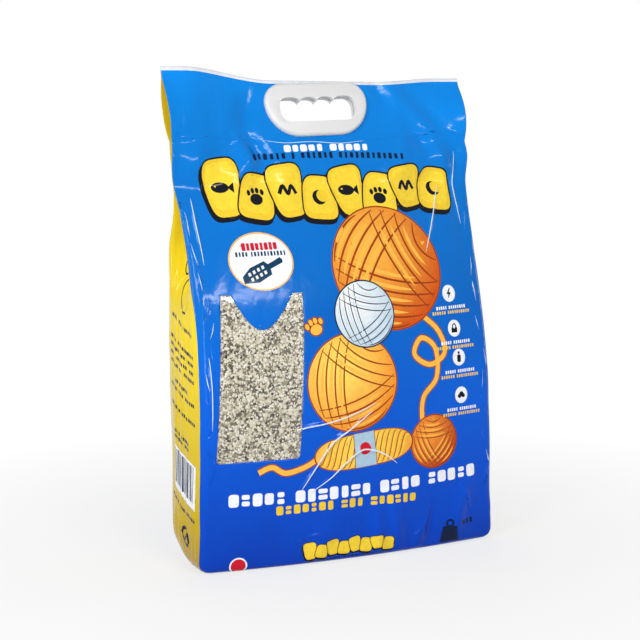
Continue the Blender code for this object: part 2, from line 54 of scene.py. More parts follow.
Point2 = tuple[float, float]
Outline = list[Point2]
Colour = tuple[float, float, float, float]
Socket = bpy.types.NodeSocket
Piece = bpy.types.Object


# Small mathematics

def mix(first: float, second: float, share: float) -> float:
    """Value between first and second."""
    return first + (second - first) * share


def ease(low: float, high: float, value: float) -> float:
    """0 below low, 1 above high and smooth between them."""
    s = min(max((value - low) / (high - low), 0.0), 1.0)
    return s * s * (3 - 2 * s)


def through(stations: list[Point2], place: float) -> float:
    """Value at a place on a smooth curve through stations.

    Args:
        stations: (place, value) pairs in rising order.
        place: where the value is wanted.

    Returns:
        The value there, held at the end values outside the stations.
    """
    if place <= stations[0][0]:
        return stations[0][1]
    for i in range(len(stations) - 1):
        start, end = stations[i], stations[i + 1]
        if place <= end[0]:
            before = stations[max(i - 1, 0)]
            after = stations[min(i + 2, len(stations) - 1)]
            span = end[0] - start[0]
            slope_in = (end[1] - before[1]) / (end[0] - before[0]) * span
            slope_out = (after[1] - start[1]) / (after[0] - start[0]) * span
            s = (place - start[0]) / span
            return (
                start[1] * (2 * s**3 - 3 * s**2 + 1)
                + slope_in * (s**3 - 2 * s**2 + s)
                + end[1] * (3 * s**2 - 2 * s**3)
                + slope_out * (s**3 - s**2)
            )
    return stations[-1][1]


def mm(*values: float) -> tuple[float, ...]:
    """Millimetres as metres."""
    return tuple(value / 1000 for value in values)


def beside(line: list[Point2] | tuple[Point2, ...], number: int, away: float) -> Point2:
    """The point at a distance to the left of a line's point.

    Args:
        line: the line's points.
        number: which of them.
        away: the distance, below 0 to the right.

    Returns:
        The point.
    """
    x, z = line[number]
    ahead, behind = line[min(number + 1, len(line) - 1)], line[max(number - 1, 0)]
    dx, dz = ahead[0] - behind[0], ahead[1] - behind[1]
    size = math.hypot(dx, dz) or 1.0
    return (x - dz / size * away, z + dx / size * away)


# Finishes

class Shader:
    """A node material under construction, with a Principled shader at its end."""

    FIRST_COLOUR, SECOND_COLOUR, MIXED_COLOUR = 6, 7, 2

    def __init__(self, name: str) -> None:
        """Starts an empty material of that name."""
        self.material = bpy.data.materials.new(name)
        self.material.use_nodes = True
        self.tree = self.material.node_tree
        self.tree.nodes.clear()
        self.output = self.tree.nodes.new("ShaderNodeOutputMaterial")
        self.body = self.tree.nodes.new("ShaderNodeBsdfPrincipled")
        self.link(self.body.outputs[0], self.output.inputs["Surface"])

    def link(self, source: Socket, target: Socket) -> None:
        """Joins two sockets."""
        self.tree.links.new(source, target)

    def add(self, kind: str, **inputs: object) -> bpy.types.Node:
        """Adds a node.

        Args:
            kind: the node type without its ShaderNode prefix.
            inputs: values or sockets by input name, with underscores for spaces.

        Returns:
            The new node.
        """
        node = self.tree.nodes.new("ShaderNode" + kind)
        for name, value in inputs.items():
            self.feed(node.inputs[name.replace("_", " ")], value)
        return node

    def feed(self, socket: Socket, value: object) -> None:
        """Links another socket to an input, or sets the input to a value."""
        if isinstance(value, Socket):
            self.link(value, socket)
        else:
            socket.default_value = value

    def set(self, **inputs: object) -> None:
        """Sets or links inputs of the Principled shader."""
        for name, value in inputs.items():
            self.feed(self.body.inputs[name.replace("_", " ")], value)

    def place(self) -> Socket:
        """Object coordinates, which are metres in the bag's own frame."""
        return self.add("TexCoord").outputs["Object"]

    def stretched(self, scale: tuple[float, float, float], turn: float = 0.0) -> Socket:
        """Object coordinates stretched by scale and turned about Y, in degrees."""
        mapping = self.add("Mapping", Vector=self.place(), Scale=scale, Rotation=(0, math.radians(turn), 0))
        return mapping.outputs["Vector"]

    def noise(self, scale: float, detail: float = 3.0, distortion: float = 0.0,
              vector: Socket | None = None) -> Socket:
        """Value of a noise texture."""
        node = self.add("TexNoise", Vector=vector or self.place(), Scale=scale, Detail=detail,
                        Distortion=distortion)
        return node.outputs[0]

    def spread(self, value: Socket, low: float, high: float, start: float = 0.0,
               end: float = 1.0) -> Socket:
        """A value mapped from start..end to low..high."""
        node = self.add("MapRange", Value=value, From_Min=start, From_Max=end, To_Min=low, To_Max=high)
        return node.outputs[0]

    def ramp(self, value: Socket, stops: list[tuple[float, Colour]]) -> Socket:
        """Colour of a ramp at a value.

        Args:
            value: the value.
            stops: (place, colour) pairs.

        Returns:
            The colour.
        """
        node = self.add("ValToRGB", Fac=value)
        band = node.color_ramp
        while len(band.elements) < len(stops):
            band.elements.new(0.5)
        for element, (place, colour) in zip(band.elements, stops):
            element.position = place
            element.color = colour
        return node.outputs[0]

    def blend(self, share: object, first: object, second: object, mode: str = "MIX") -> Socket:
        """Two colours mixed.

        Args:
            share: how much of the second is mixed in.
            first: a colour or a socket.
            second: a colour or a socket.
            mode: Blender's name for the way of mixing.

        Returns:
            The mixed colour.
        """
        node = self.add("Mix")
        node.data_type = "RGBA"
        node.blend_type = mode
        for socket, value in (("Factor", share), (self.FIRST_COLOUR, first), (self.SECOND_COLOUR, second)):
            self.feed(node.inputs[socket], value)
        return node.outputs[self.MIXED_COLOUR]

    def maths(self, operation: str, first: object, second: object = 0.0) -> Socket:
        """Result of a Math node.

        Args:
            operation: its operation.
            first: a number or a socket.
            second: a number or a socket.

        Returns:
            The result.
        """
        node = self.add("Math")
        node.operation = operation
        for socket, value in zip(node.inputs, (first, second)):
            self.feed(socket, value)
        return node.outputs[0]

    def cover(self, share: Socket, under: Socket, over: Socket) -> None:
        """Ends the material in a mix of two surfaces.

        Args:
            share: how much of the second is seen.
            under: the first surface.
            over: the second one.
        """
        both = self.add("MixShader", Fac=share)
        self.link(under, both.inputs[1])
        self.link(over, both.inputs[2])
        self.link(both.outputs[0], self.output.inputs["Surface"])

    def bumps(self, *layers: tuple[Socket, float, float]) -> Socket:
        """A chain of bumps.

        Args:
            layers: (height, strength, distance) of each bump.

        Returns:
            The normal after the last one.
        """
        normal = None
        for height, strength, distance in layers:
            node = self.add("Bump", Height=height, Strength=strength, Distance=distance)
            if normal is not None:
                self.link(normal, node.inputs["Normal"])
            normal = node.outputs[0]
        return normal


def linear(value: float) -> float:
    """Scene-linear value of an sRGB one of 0 to 255."""
    share = value / 255
    return share / 12.92 if share <= 0.04045 else ((share + 0.055) / 1.055) ** 2.4


def tone(red: float, green: float, blue: float) -> Colour:
    """Scene-linear colour of an sRGB triple of 0 to 255."""
    return (linear(red), linear(green), linear(blue), 1.0)


@dataclass(frozen=True)
class FilmGloss:
    """Surface of the laminated film, whatever its colour."""

    roughness_low: float = 0.08
    roughness_high: float = 0.17
    crinkle: float = 0.22
    crease: float = 0.55

    def lay(self, shader: Shader) -> None:
        """Gives a shader the film's gloss and its fine crinkles."""
        fine = shader.noise(85.0, 4.0, 1.1)
        broad = shader.noise(15.0, 3.0, 0.6, shader.stretched((1.0, 1.0, 0.35), 18))
        ridge = shader.maths("ABSOLUTE", shader.maths("SUBTRACT", broad, 0.5))
        smudge = shader.noise(9.0, 5.0)
        shader.set(
            Roughness=shader.spread(smudge, self.roughness_low, self.roughness_high, 0.3, 0.7),
            Normal=shader.bumps((ridge, self.crease, 0.004), (fine, self.crinkle, 0.0008)),
            IOR=1.49,
            Specular_IOR_Level=0.12,
        )


@dataclass(frozen=True)
class GradedFilm:
    """Film whose colour changes with height: a printed gradient on the blue, painted shade towards the foot and the
    top on the yellow.
    """

    name: str
    stops: list[tuple[float, Colour]]
    gloss: FilmGloss = FilmGloss()

    def build(self) -> bpy.types.Material:
        """The finished material; the stops run from the foot at 0 to the top edge at 1."""
        shader = Shader(self.name)
        height = shader.add("SeparateXYZ", Vector=shader.place()).outputs["Z"]
        colour = shader.ramp(shader.spread(height, 0.0, 1.0, 0.0, 0.43), self.stops)
        cloud = shader.spread(shader.noise(7.0, 2.0), 0.9, 1.08, 0.3, 0.7)
        shader.set(Base_Color=shader.blend(1.0, colour, cloud, "MULTIPLY"))
        self.gloss.lay(shader)
        return shader.material


@dataclass(frozen=True)
class InkedFilm:
    """Film printed in one ink, with the slight unevenness of real print."""

    name: str
    colour: Colour
    depth: Colour | None = None
    centre: Point2 = (0.0, 0.0)
    reach: float = 0.05
    gloss: FilmGloss = FilmGloss()

    def build(self) -> bpy.types.Material:
        """The finished material, airbrushed from its centre towards the depth colour if it has one."""
        shader = Shader(self.name)
        speck = shader.spread(shader.noise(260.0, 2.0), 0.94, 1.05, 0.3, 0.7)
        colour: object = self.colour
        if self.depth is not None:
            offset = shader.add("VectorMath")
            offset.operation = "DISTANCE"
            shader.link(shader.stretched((1.0, 0.0, 1.0)), offset.inputs[0])
            offset.inputs[1].default_value = (self.centre[0], 0.0, self.centre[1])
            share = shader.spread(offset.outputs["Value"], 0.0, 1.0, 0.15 * self.reach, self.reach)
            colour = shader.blend(share, self.colour, self.depth)
        shader.set(Base_Color=shader.blend(1.0, colour, speck, "MULTIPLY"))
        self.gloss.lay(shader)
        return shader.material


@dataclass(frozen=True)
class ClearFilm:
    """The unprinted stretch of film in front of the litter."""

    name: str = "clear_film"
    haze: float = 0.015

    def build(self) -> bpy.types.Material:
        """The finished material: see-through, with a gloss that grows where it turns away."""
        shader = Shader(self.name)
        broad = shader.noise(18.0, 3.0, 0.8, shader.stretched((1.0, 1.0, 0.4), 25))
        ridge = shader.maths("ABSOLUTE", shader.maths("SUBTRACT", broad, 0.5))
        fine = shader.noise(120.0, 3.0, 0.6)
        shader.set(
            Base_Color=(0.8, 0.83, 0.86, 1.0),
            Metallic=1.0,
            Roughness=shader.spread(shader.noise(30.0, 3.0), 0.06, 0.16, 0.3, 0.7),
            Normal=shader.bumps((ridge, 0.45, 0.004), (fine, 0.2, 0.0006)),
        )
        facing = shader.add("LayerWeight", Blend=0.35).outputs["Facing"]
        share = shader.spread(facing, self.haze, 0.6)
        clear = shader.add("BsdfTransparent", Color=(0.98, 0.98, 0.99, 1.0))
        shader.cover(share, clear.outputs[0], shader.body.outputs[0])
        return shader.material


@dataclass(frozen=True)
class Granule:
    """One shade of clay granule."""

    name: str
    colour: Colour

    def build(self) -> bpy.types.Material:
        """The finished material: dry, dusty and pitted."""
        shader = Shader(self.name)
        dust = shader.spread(shader.noise(900.0, 3.0), 0.86, 1.12, 0.3, 0.7)
        shader.set(
            Base_Color=shader.blend(1.0, self.colour, dust, "MULTIPLY"),
            Roughness=shader.spread(shader.noise(1400.0, 2.0), 0.65, 0.95, 0.3, 0.7),
            Normal=shader.bumps((shader.noise(2200.0, 3.0), 0.5, 0.0003)),
            IOR=1.45,
            Specular_IOR_Level=0.15,
        )
        return shader.material


@dataclass(frozen=True)
class LitterBed:
    """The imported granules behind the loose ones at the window."""

    name: str = "litter_bed"
    grain: float = 430.0

    def build(self) -> bpy.types.Material:
        """The finished material: a mosaic of dark and grey grains."""
        shader = Shader(self.name)
        cells = shader.add("TexVoronoi", Vector=shader.place(), Scale=self.grain)
        value = shader.add("SeparateColor", Color=cells.outputs["Color"]).outputs[0]
        shades = [(0.0, tone(76, 68, 52)), (0.36, tone(134, 123, 99)), (0.7, tone(200, 189, 160)),
                  (1.0, tone(244, 236, 212))]
        shader.set(
            Base_Color=shader.ramp(value, shades),
            Roughness=0.88,
            Specular_IOR_Level=0.15,
            Normal=shader.bumps((cells.outputs["Distance"], 0.9, 0.001)),
        )
        return shader.material


@dataclass(frozen=True)
class MouldedPlastic:
    """White polyethylene of the carry handle."""

    name: str
    colour: Colour = tone(214, 214, 213)

    def build(self) -> bpy.types.Material:
        """The finished material: a soft gloss over a fine moulded grain, a little grey where hands rub."""
        shader = Shader(self.name)
        grain = shader.noise(700.0, 2.0)
        flow = shader.noise(38.0, 3.0, 0.7)
        rubbed = shader.spread(shader.noise(55.0, 4.0), 0.0, 0.16, 0.45, 0.8)
        shader.set(
            Base_Color=shader.blend(rubbed, self.colour, tone(204, 205, 205)),
            Roughness=shader.spread(flow, 0.28, 0.42, 0.3, 0.7),
            Normal=shader.bumps((flow, 0.1, 0.001), (grain, 0.08, 0.0003)),
            Subsurface_Weight=0.12,
            Subsurface_Radius=(0.004, 0.004, 0.004),
            IOR=1.5,
        )
        return shader.material


# Form of the film

@dataclass(frozen=True)
class Fold:
    """A soft valley, or below 0 a ridge, pressed into the film.

    The panels' folds are given in shares of half the panel's width and of the seal's height, the shared folds
    and the foot's ridges in metres. Depths are always in metres.
    """

    x: float
    z: float
    length: float
    width: float
    depth: float
    turn: float = 0.0

    def push(self, x: float, z: float) -> float:
        """How far inwards the fold presses the film.

        Args:
            x: place across the panel, in the fold's own units.
            z: height, in the same units.

        Returns:
            The depth there.
        """
        turn = math.radians(self.turn)
        along = (z - self.z) * math.cos(turn) + (x - self.x) * math.sin(turn)
        across = (x - self.x) * math.cos(turn) - (z - self.z) * math.sin(turn)
        return self.depth * math.exp(-((along / self.length) ** 2) - (across / self.width) ** 2)


@dataclass(frozen=True)
class Crease:
    """A sharp ridge in the film along a line on the web.

    Its sides are flat, so that they mirror the lamps as a whole. A painted highlight, a pale line that stands in
    for the crest's glint, runs along its crest over a width.
    """

    line: tuple[Point2, ...]
    height: float = 0.0011
    blunt: float = 0.5
    # width of the painted highlight laid along the crest in place of a glint, 0 for none
    scuff: float = 0.0
    slope: float = 0.48
    CREST: ClassVar[float] = 0.1

    @property
    def base(self) -> float:
        """Half the ridge's width where it is highest."""
        return self.height / self.slope

    def fade(self, share: float) -> float:
        """Share of the full height at a share of the line, 0 at both ends."""
        return max(math.sin(math.pi * share), 0.0) ** self.blunt

    def near(self, w: float, v: float) -> bool:
        """Whether a place is close enough for the ridge to reach it."""
        margin = 1.1 * self.base
        return (min(p[0] for p in self.line) - margin < w < max(p[0] for p in self.line) + margin
                and min(p[1] for p in self.line) - margin < v < max(p[1] for p in self.line) + margin)

    def rise(self, w: float, v: float) -> float:
        """How far the ridge lifts the film, running out towards its ends.

        Args:
            w: web distance.
            v: web height.

        Returns:
            The lift there, 0 beside the ridge.
        """
        if not self.near(w, v):
            return 0.0
        best, place = 1.0, 0.0
        count = len(self.line) - 1
        for i in range(count):
            (aw, av), (bw, bv) = self.line[i], self.line[i + 1]
            dw, dv = bw - aw, bv - av
            share = min(max(((w - aw) * dw + (v - av) * dv) / (dw * dw + dv * dv), 0.0), 1.0)
            away = math.hypot(w - aw - share * dw, v - av - share * dv)
            if away < best:
                best = away
                place = (i + share) / count
        crest = self.height * self.fade(place)
        return max(crest - self.slope * max(best, self.CREST * self.base), 0.0)

    def rails(self) -> list[list[Point2]]:
        """Lines along the ridge that the mesh follows, so that the ridge stays crisp."""
        last = len(self.line) - 1
        return [[beside(self.line, i, offset * self.base * max(self.fade(i / last), 0.08)) for i in range(last + 1)]
                for offset in (-1.0, -0.82, -self.CREST, self.CREST, 0.82, 1.0)]


FRONT_FOLDS = (
    Fold(-0.46, 0.945, 0.055, 0.065, 0.006),
    Fold(-0.6, 0.9, 0.09, 0.075, -0.0036, 25),
    Fold(-0.3, 0.9, 0.08, 0.08, -0.003, -10),
    Fold(0.72, 0.925, 0.07, 0.13, 0.0058, -20),
    Fold(0.45, 0.9, 0.09, 0.08, -0.003, 10),
    Fold(0.93, 0.8, 0.12, 0.07, 0.002, -8),
    Fold(0.52, 0.06, 0.07, 0.06, 0.003, 15),
    Fold(0.3, 0.09, 0.07, 0.08, -0.0016),
    Fold(0.05, 0.08, 0.08, 0.07, 0.0018, -10),
    Fold(-0.55, 0.07, 0.08, 0.09, 0.0014),
)
BACK_FOLDS = (
    Fold(-0.5, 0.93, 0.07, 0.08, 0.004, 15),
    Fold(0.4, 0.92, 0.07, 0.09, 0.004, -15),
    Fold(0.0, 0.9, 0.08, 0.07, -0.0022),
    Fold(-0.35, 0.62, 0.14, 0.22, -0.0014, 12),
    Fold(0.3, 0.4, 0.16, 0.24, -0.0012, -15),
    Fold(-0.35, 0.08, 0.08, 0.08, 0.002),
    Fold(0.45, 0.08, 0.08, 0.08, 0.002),
)


SHARED_FROM = 0.3
SHARED_FOLDS = (
    Fold(-0.064, 0.357, 0.015, 0.0065, 0.0042, -30),
    Fold(-0.074, 0.35, 0.018, 0.0065, -0.0034, -16),
    Fold(-0.096, 0.353, 0.018, 0.01, 0.0024, 14),
    Fold(-0.122, 0.348, 0.02, 0.009, -0.0026, 20),
    Fold(0.1, 0.364, 0.016, 0.008, 0.0042, -38),
    Fold(0.116, 0.35, 0.02, 0.0085, -0.0034, -40),
    Fold(0.131, 0.345, 0.014, 0.009, 0.003, -30),
    Fold(0.078, 0.352, 0.016, 0.008, -0.0022, 18),
    Fold(0.064, 0.408, 0.017, 0.008, 0.0026, -34),
    Fold(0.112, 0.389, 0.027, 0.01, 0.0026, -46),
    Fold(0.094, 0.392, 0.024, 0.0095, -0.0016, -40),
    Fold(-0.086, 0.398, 0.026, 0.012, -0.002, 12),
    Fold(-0.068, 0.392, 0.02, 0.008, 0.0022, 20),
)
FRONT_RIDGES: tuple[tuple[float, float, float, Outline], ...] = (
    # height and bluntness of the ridge, width of the painted highlight along its crest, and its line on the front
    # in millimetres
    (0.0007, 0.25, 0.0, [(-138, 369), (-100, 369.5), (-62, 367)]),
    (0.001, 0.5, 0.0005, [(-58, 367), (-38, 364.5), (-12, 365.5), (16, 364), (40, 366.5)]),
    (0.0006, 0.5, 0.0, [(-30, 368), (-4, 368.5), (28, 367.5)]),
    (0.0007, 0.25, 0.0, [(48, 367.5), (70, 370), (98, 371.5), (137, 374)]),
    (0.0016, 0.5, 0.0011, [(-80, 99), (-66, 113), (-54, 121), (-34, 124), (-13, 128), (3, 133), (18, 139)]),
    (0.0019, 0.5, 0.0014, [(-54, 67), (-39, 89), (-24, 108), (-6, 119), (14, 132)]),
    (0.0017, 0.5, 0.0013, [(-45, 65), (-27, 76), (-13, 88), (1, 98), (13, 97.5), (26, 92), (38, 83)]),
    (0.0014, 0.5, 0.001, [(112, 326), (98, 297), (83, 266)]),
    (0.0013, 0.5, 0.0009, [(130, 356), (127, 325), (128, 290)]),
    (0.001, 0.5, 0.0008, [(-130, 318), (-129, 296), (-127, 262)]),
    (0.001, 0.5, 0.0008, [(-131, 186), (-130, 158), (-131, 124)]),
    (0.0007, 0.5, 0.0, [(62, 128), (72, 120), (78, 108)]),
    (0.0012, 0.5, 0.0, [(103, 60), (112, 47), (117, 30)]),
    (0.0008, 0.5, 0.0, [(-60, 20), (-40, 27), (-22, 17)]),
    (0.0009, 0.5, 0.0, [(55, 14), (70, 30), (74, 46)]),
    (0.0009, 0.5, 0.0, [(-119, 232), (-104, 226), (-96, 210)]),
    (0.0008, 0.5, 0.0, [(-88, 196), (-76, 204), (-60, 200)]),
    (0.0007, 0.5, 0.0, [(-100, 168), (-92, 150), (-96, 132)]),
)
GUSSET_RIDGES: tuple[tuple[float, Outline], ...] = (
    # height of the ridge, and its line from distances to the gusset's valley and heights in millimetres
    (0.0011, [(-14, 224), (-12, 196), (-15, 172)]),
    (0.0011, [(8, 232), (12, 208), (9, 186), (12, 164)]),
    (0.0009, [(22, 208), (26, 190), (24, 170)]),
    (0.0011, [(-10, 160), (-4, 140), (-8, 118), (0, 98)]),
    (0.0008, [(16, 150), (20, 130), (15, 104)]),
    (0.001, [(-12, 54), (-4, 40), (6, 28)]),
    (0.0009, [(2, 54), (-6, 34), (-2, 18)]),
    (0.0009, [(24, 48), (18, 32), (22, 16)]),
    (0.0008, [(12, 268), (8, 250), (14, 238)]),
)
FOOT_RIDGES = (
    Fold(0.02, 0.022, 0.024, 0.006, -0.003, -6),
    Fold(0.038, 0.026, 0.026, 0.005, -0.003, -10),
    Fold(0.064, 0.02, 0.022, 0.006, -0.0032, 22),
    Fold(0.106, 0.034, 0.026, 0.007, -0.003, 16),
    Fold(-0.034, 0.018, 0.02, 0.008, -0.0016, 30),
    Fold(-0.086, 0.026, 0.024, 0.008, -0.0016, -22),
    Fold(-0.012, 0.11, 0.034, 0.009, -0.0014, -50),
)


@dataclass(frozen=True)
class FilmSizes:
    """Sizes of the film tube, as the solids have them."""

    panel_width: float = 0.288
    gusset_half: float = 0.047
    film: float = 0.0004
    layer_gap: float = 0.0003
    seal_height: float = 0.366
    seal_band: float = 0.01
    handle_width: float = 0.1
    handle_height: float = 0.0492
    handle_offset: float = -0.0028
    handle_to_seal: float = 0.0045
    handle_to_edge: float = 0.0022
    body_depth: float = 0.094
    front_crown: float = 0.01
    back_crown: float = 0.007
    edge_radius: float = 0.009
    gusset_bow: float = 0.0035
    front_foot_radius: float = 0.005
    back_foot_radius: float = 0.02
    side_foot_radius: float = 0.011
    foot_edge_radius: float = 0.005
    foot_lift: float = 0.02
    foot_seam_offset: float = -0.005
    seam_inset: float = 0.012
    lean: float = math.radians(17)
    seal_setback: float = 0.0135
    flare: float = 0.0086
    left_ear: float = 0.011
    right_ear: float = 0.004
    edge_ripple: float = 0.0022
    header_wave: float = 0.001

    @property
    def handle_rise(self) -> float:
        """Height of the leaning handle."""
        return self.handle_height * math.cos(self.lean)

    @property
    def header_height(self) -> float:
        """Lower seal to the top edge, without the ears."""
        return self.handle_to_seal + self.handle_rise + self.handle_to_edge

    @property
    def lip(self) -> float:
        """Panel and gusset leaf, flat on each other."""
        return 2 * self.film + self.layer_gap

    @property
    def pinch_half(self) -> float:
        """Half of the four layers at a flat edge."""
        return self.lip + self.layer_gap

    @property
    def stack_half(self) -> float:
        """Half of two flat layers."""
        return self.film + self.layer_gap / 2


FRONT_LINE = [(0, 0.92), (0.12, 0.97), (0.28, 1.0), (0.46, 0.94), (0.62, 0.71), (0.74, 0.38),
              (0.82, 0.1), (0.91, -0.19), (1.0, -0.24)]
BACK_LINE = [(0, 0.62), (0.12, 0.76), (0.3, 0.85), (0.55, 0.95), (0.68, 0.93), (0.75, 0.84),
             (0.82, 0.46), (0.89, 0.22), (1.0, 0.24)]
WAIST_LINE = [(0, 0.012), (0.15, 0.02), (0.5, 0.045), (0.72, 0.054), (0.84, 0.034), (0.94, 0.0),
              (1.0, 0.01)]
CROWN_LINE = [(0, 0.9), (0.1, 1.0), (0.35, 1.0), (0.65, 0.95), (0.82, 0.75), (0.92, 0.35), (1.0, 0.0)]
FLARE_LINE = [(0, 0.25), (0.17, 0.78), (0.35, 1.0), (0.55, 0.85), (0.72, 0.42), (0.86, 0.0), (1.0, 0.0)]


def rolled_under(radius: float, height: float) -> float:
    """How far a rounded foot of this radius has drawn in at a height."""
    if height >= radius:
        return 0.0
    return radius - math.sqrt(max(radius**2 - (radius - height) ** 2, 0.0))


class Level:
    """The measures of one horizontal section of the film tube."""

    def __init__(self, sizes: FilmSizes, height: float) -> None:
        """Works out the section at a height.

        Args:
            sizes: the film tube's sizes.
            height: the height.
        """
        share = height / sizes.seal_height
        self.height = height
        self.header = max(height - sizes.seal_height, 0.0) / sizes.header_height
        band = sizes.seal_band / sizes.seal_height
        self.flat = ease(1 - 4 * band, 1 - band, share)
        half = sizes.body_depth / 2
        front = -half * through(FRONT_LINE, share) + rolled_under(sizes.front_foot_radius, height)
        back = half * through(BACK_LINE, share) - rolled_under(sizes.back_foot_radius, height)
        back = max(back, front + 2 * sizes.pinch_half)
        flare = sizes.pinch_half / math.cos(sizes.lean)
        if share > 1:
            flare += sizes.flare * through(FLARE_LINE, self.header)
        else:
            flare += sizes.flare * FLARE_LINE[0][1] * self.flat**4
        self.plane = sizes.seal_setback + (height - sizes.seal_height) * math.tan(sizes.lean)
        self.front = mix(front, self.plane - flare, self.flat)
        self.back = mix(back, self.plane + flare, self.flat)
        self.middle = (self.front + self.back) / 2
        waist = sizes.body_depth * through(WAIST_LINE, share) + rolled_under(sizes.side_foot_radius, height)
        self.half_width = sizes.panel_width / 2 - waist * (1 - self.header)
        full_radius = mix(sizes.foot_edge_radius, sizes.edge_radius, ease(0, 0.2, share))
        self.radius = mix(full_radius, sizes.lip / 2, ease(0.62, 0.9, share))
        self.reach = self.half_width - self.radius
        crown = through(CROWN_LINE, share)
        self.front_crown = sizes.front_crown * crown
        self.back_crown = sizes.back_crown * crown
        gap = (self.back - self.front) / 2
        leaf = math.sqrt(max(sizes.gusset_half**2 - gap**2, 0.0))
        self.tuck = leaf * ease(0.56, 0.82, share)
        self.bow = sizes.gusset_bow * (1 - ease(0.45, 0.66, share)) * ease(0, 0.12, share)


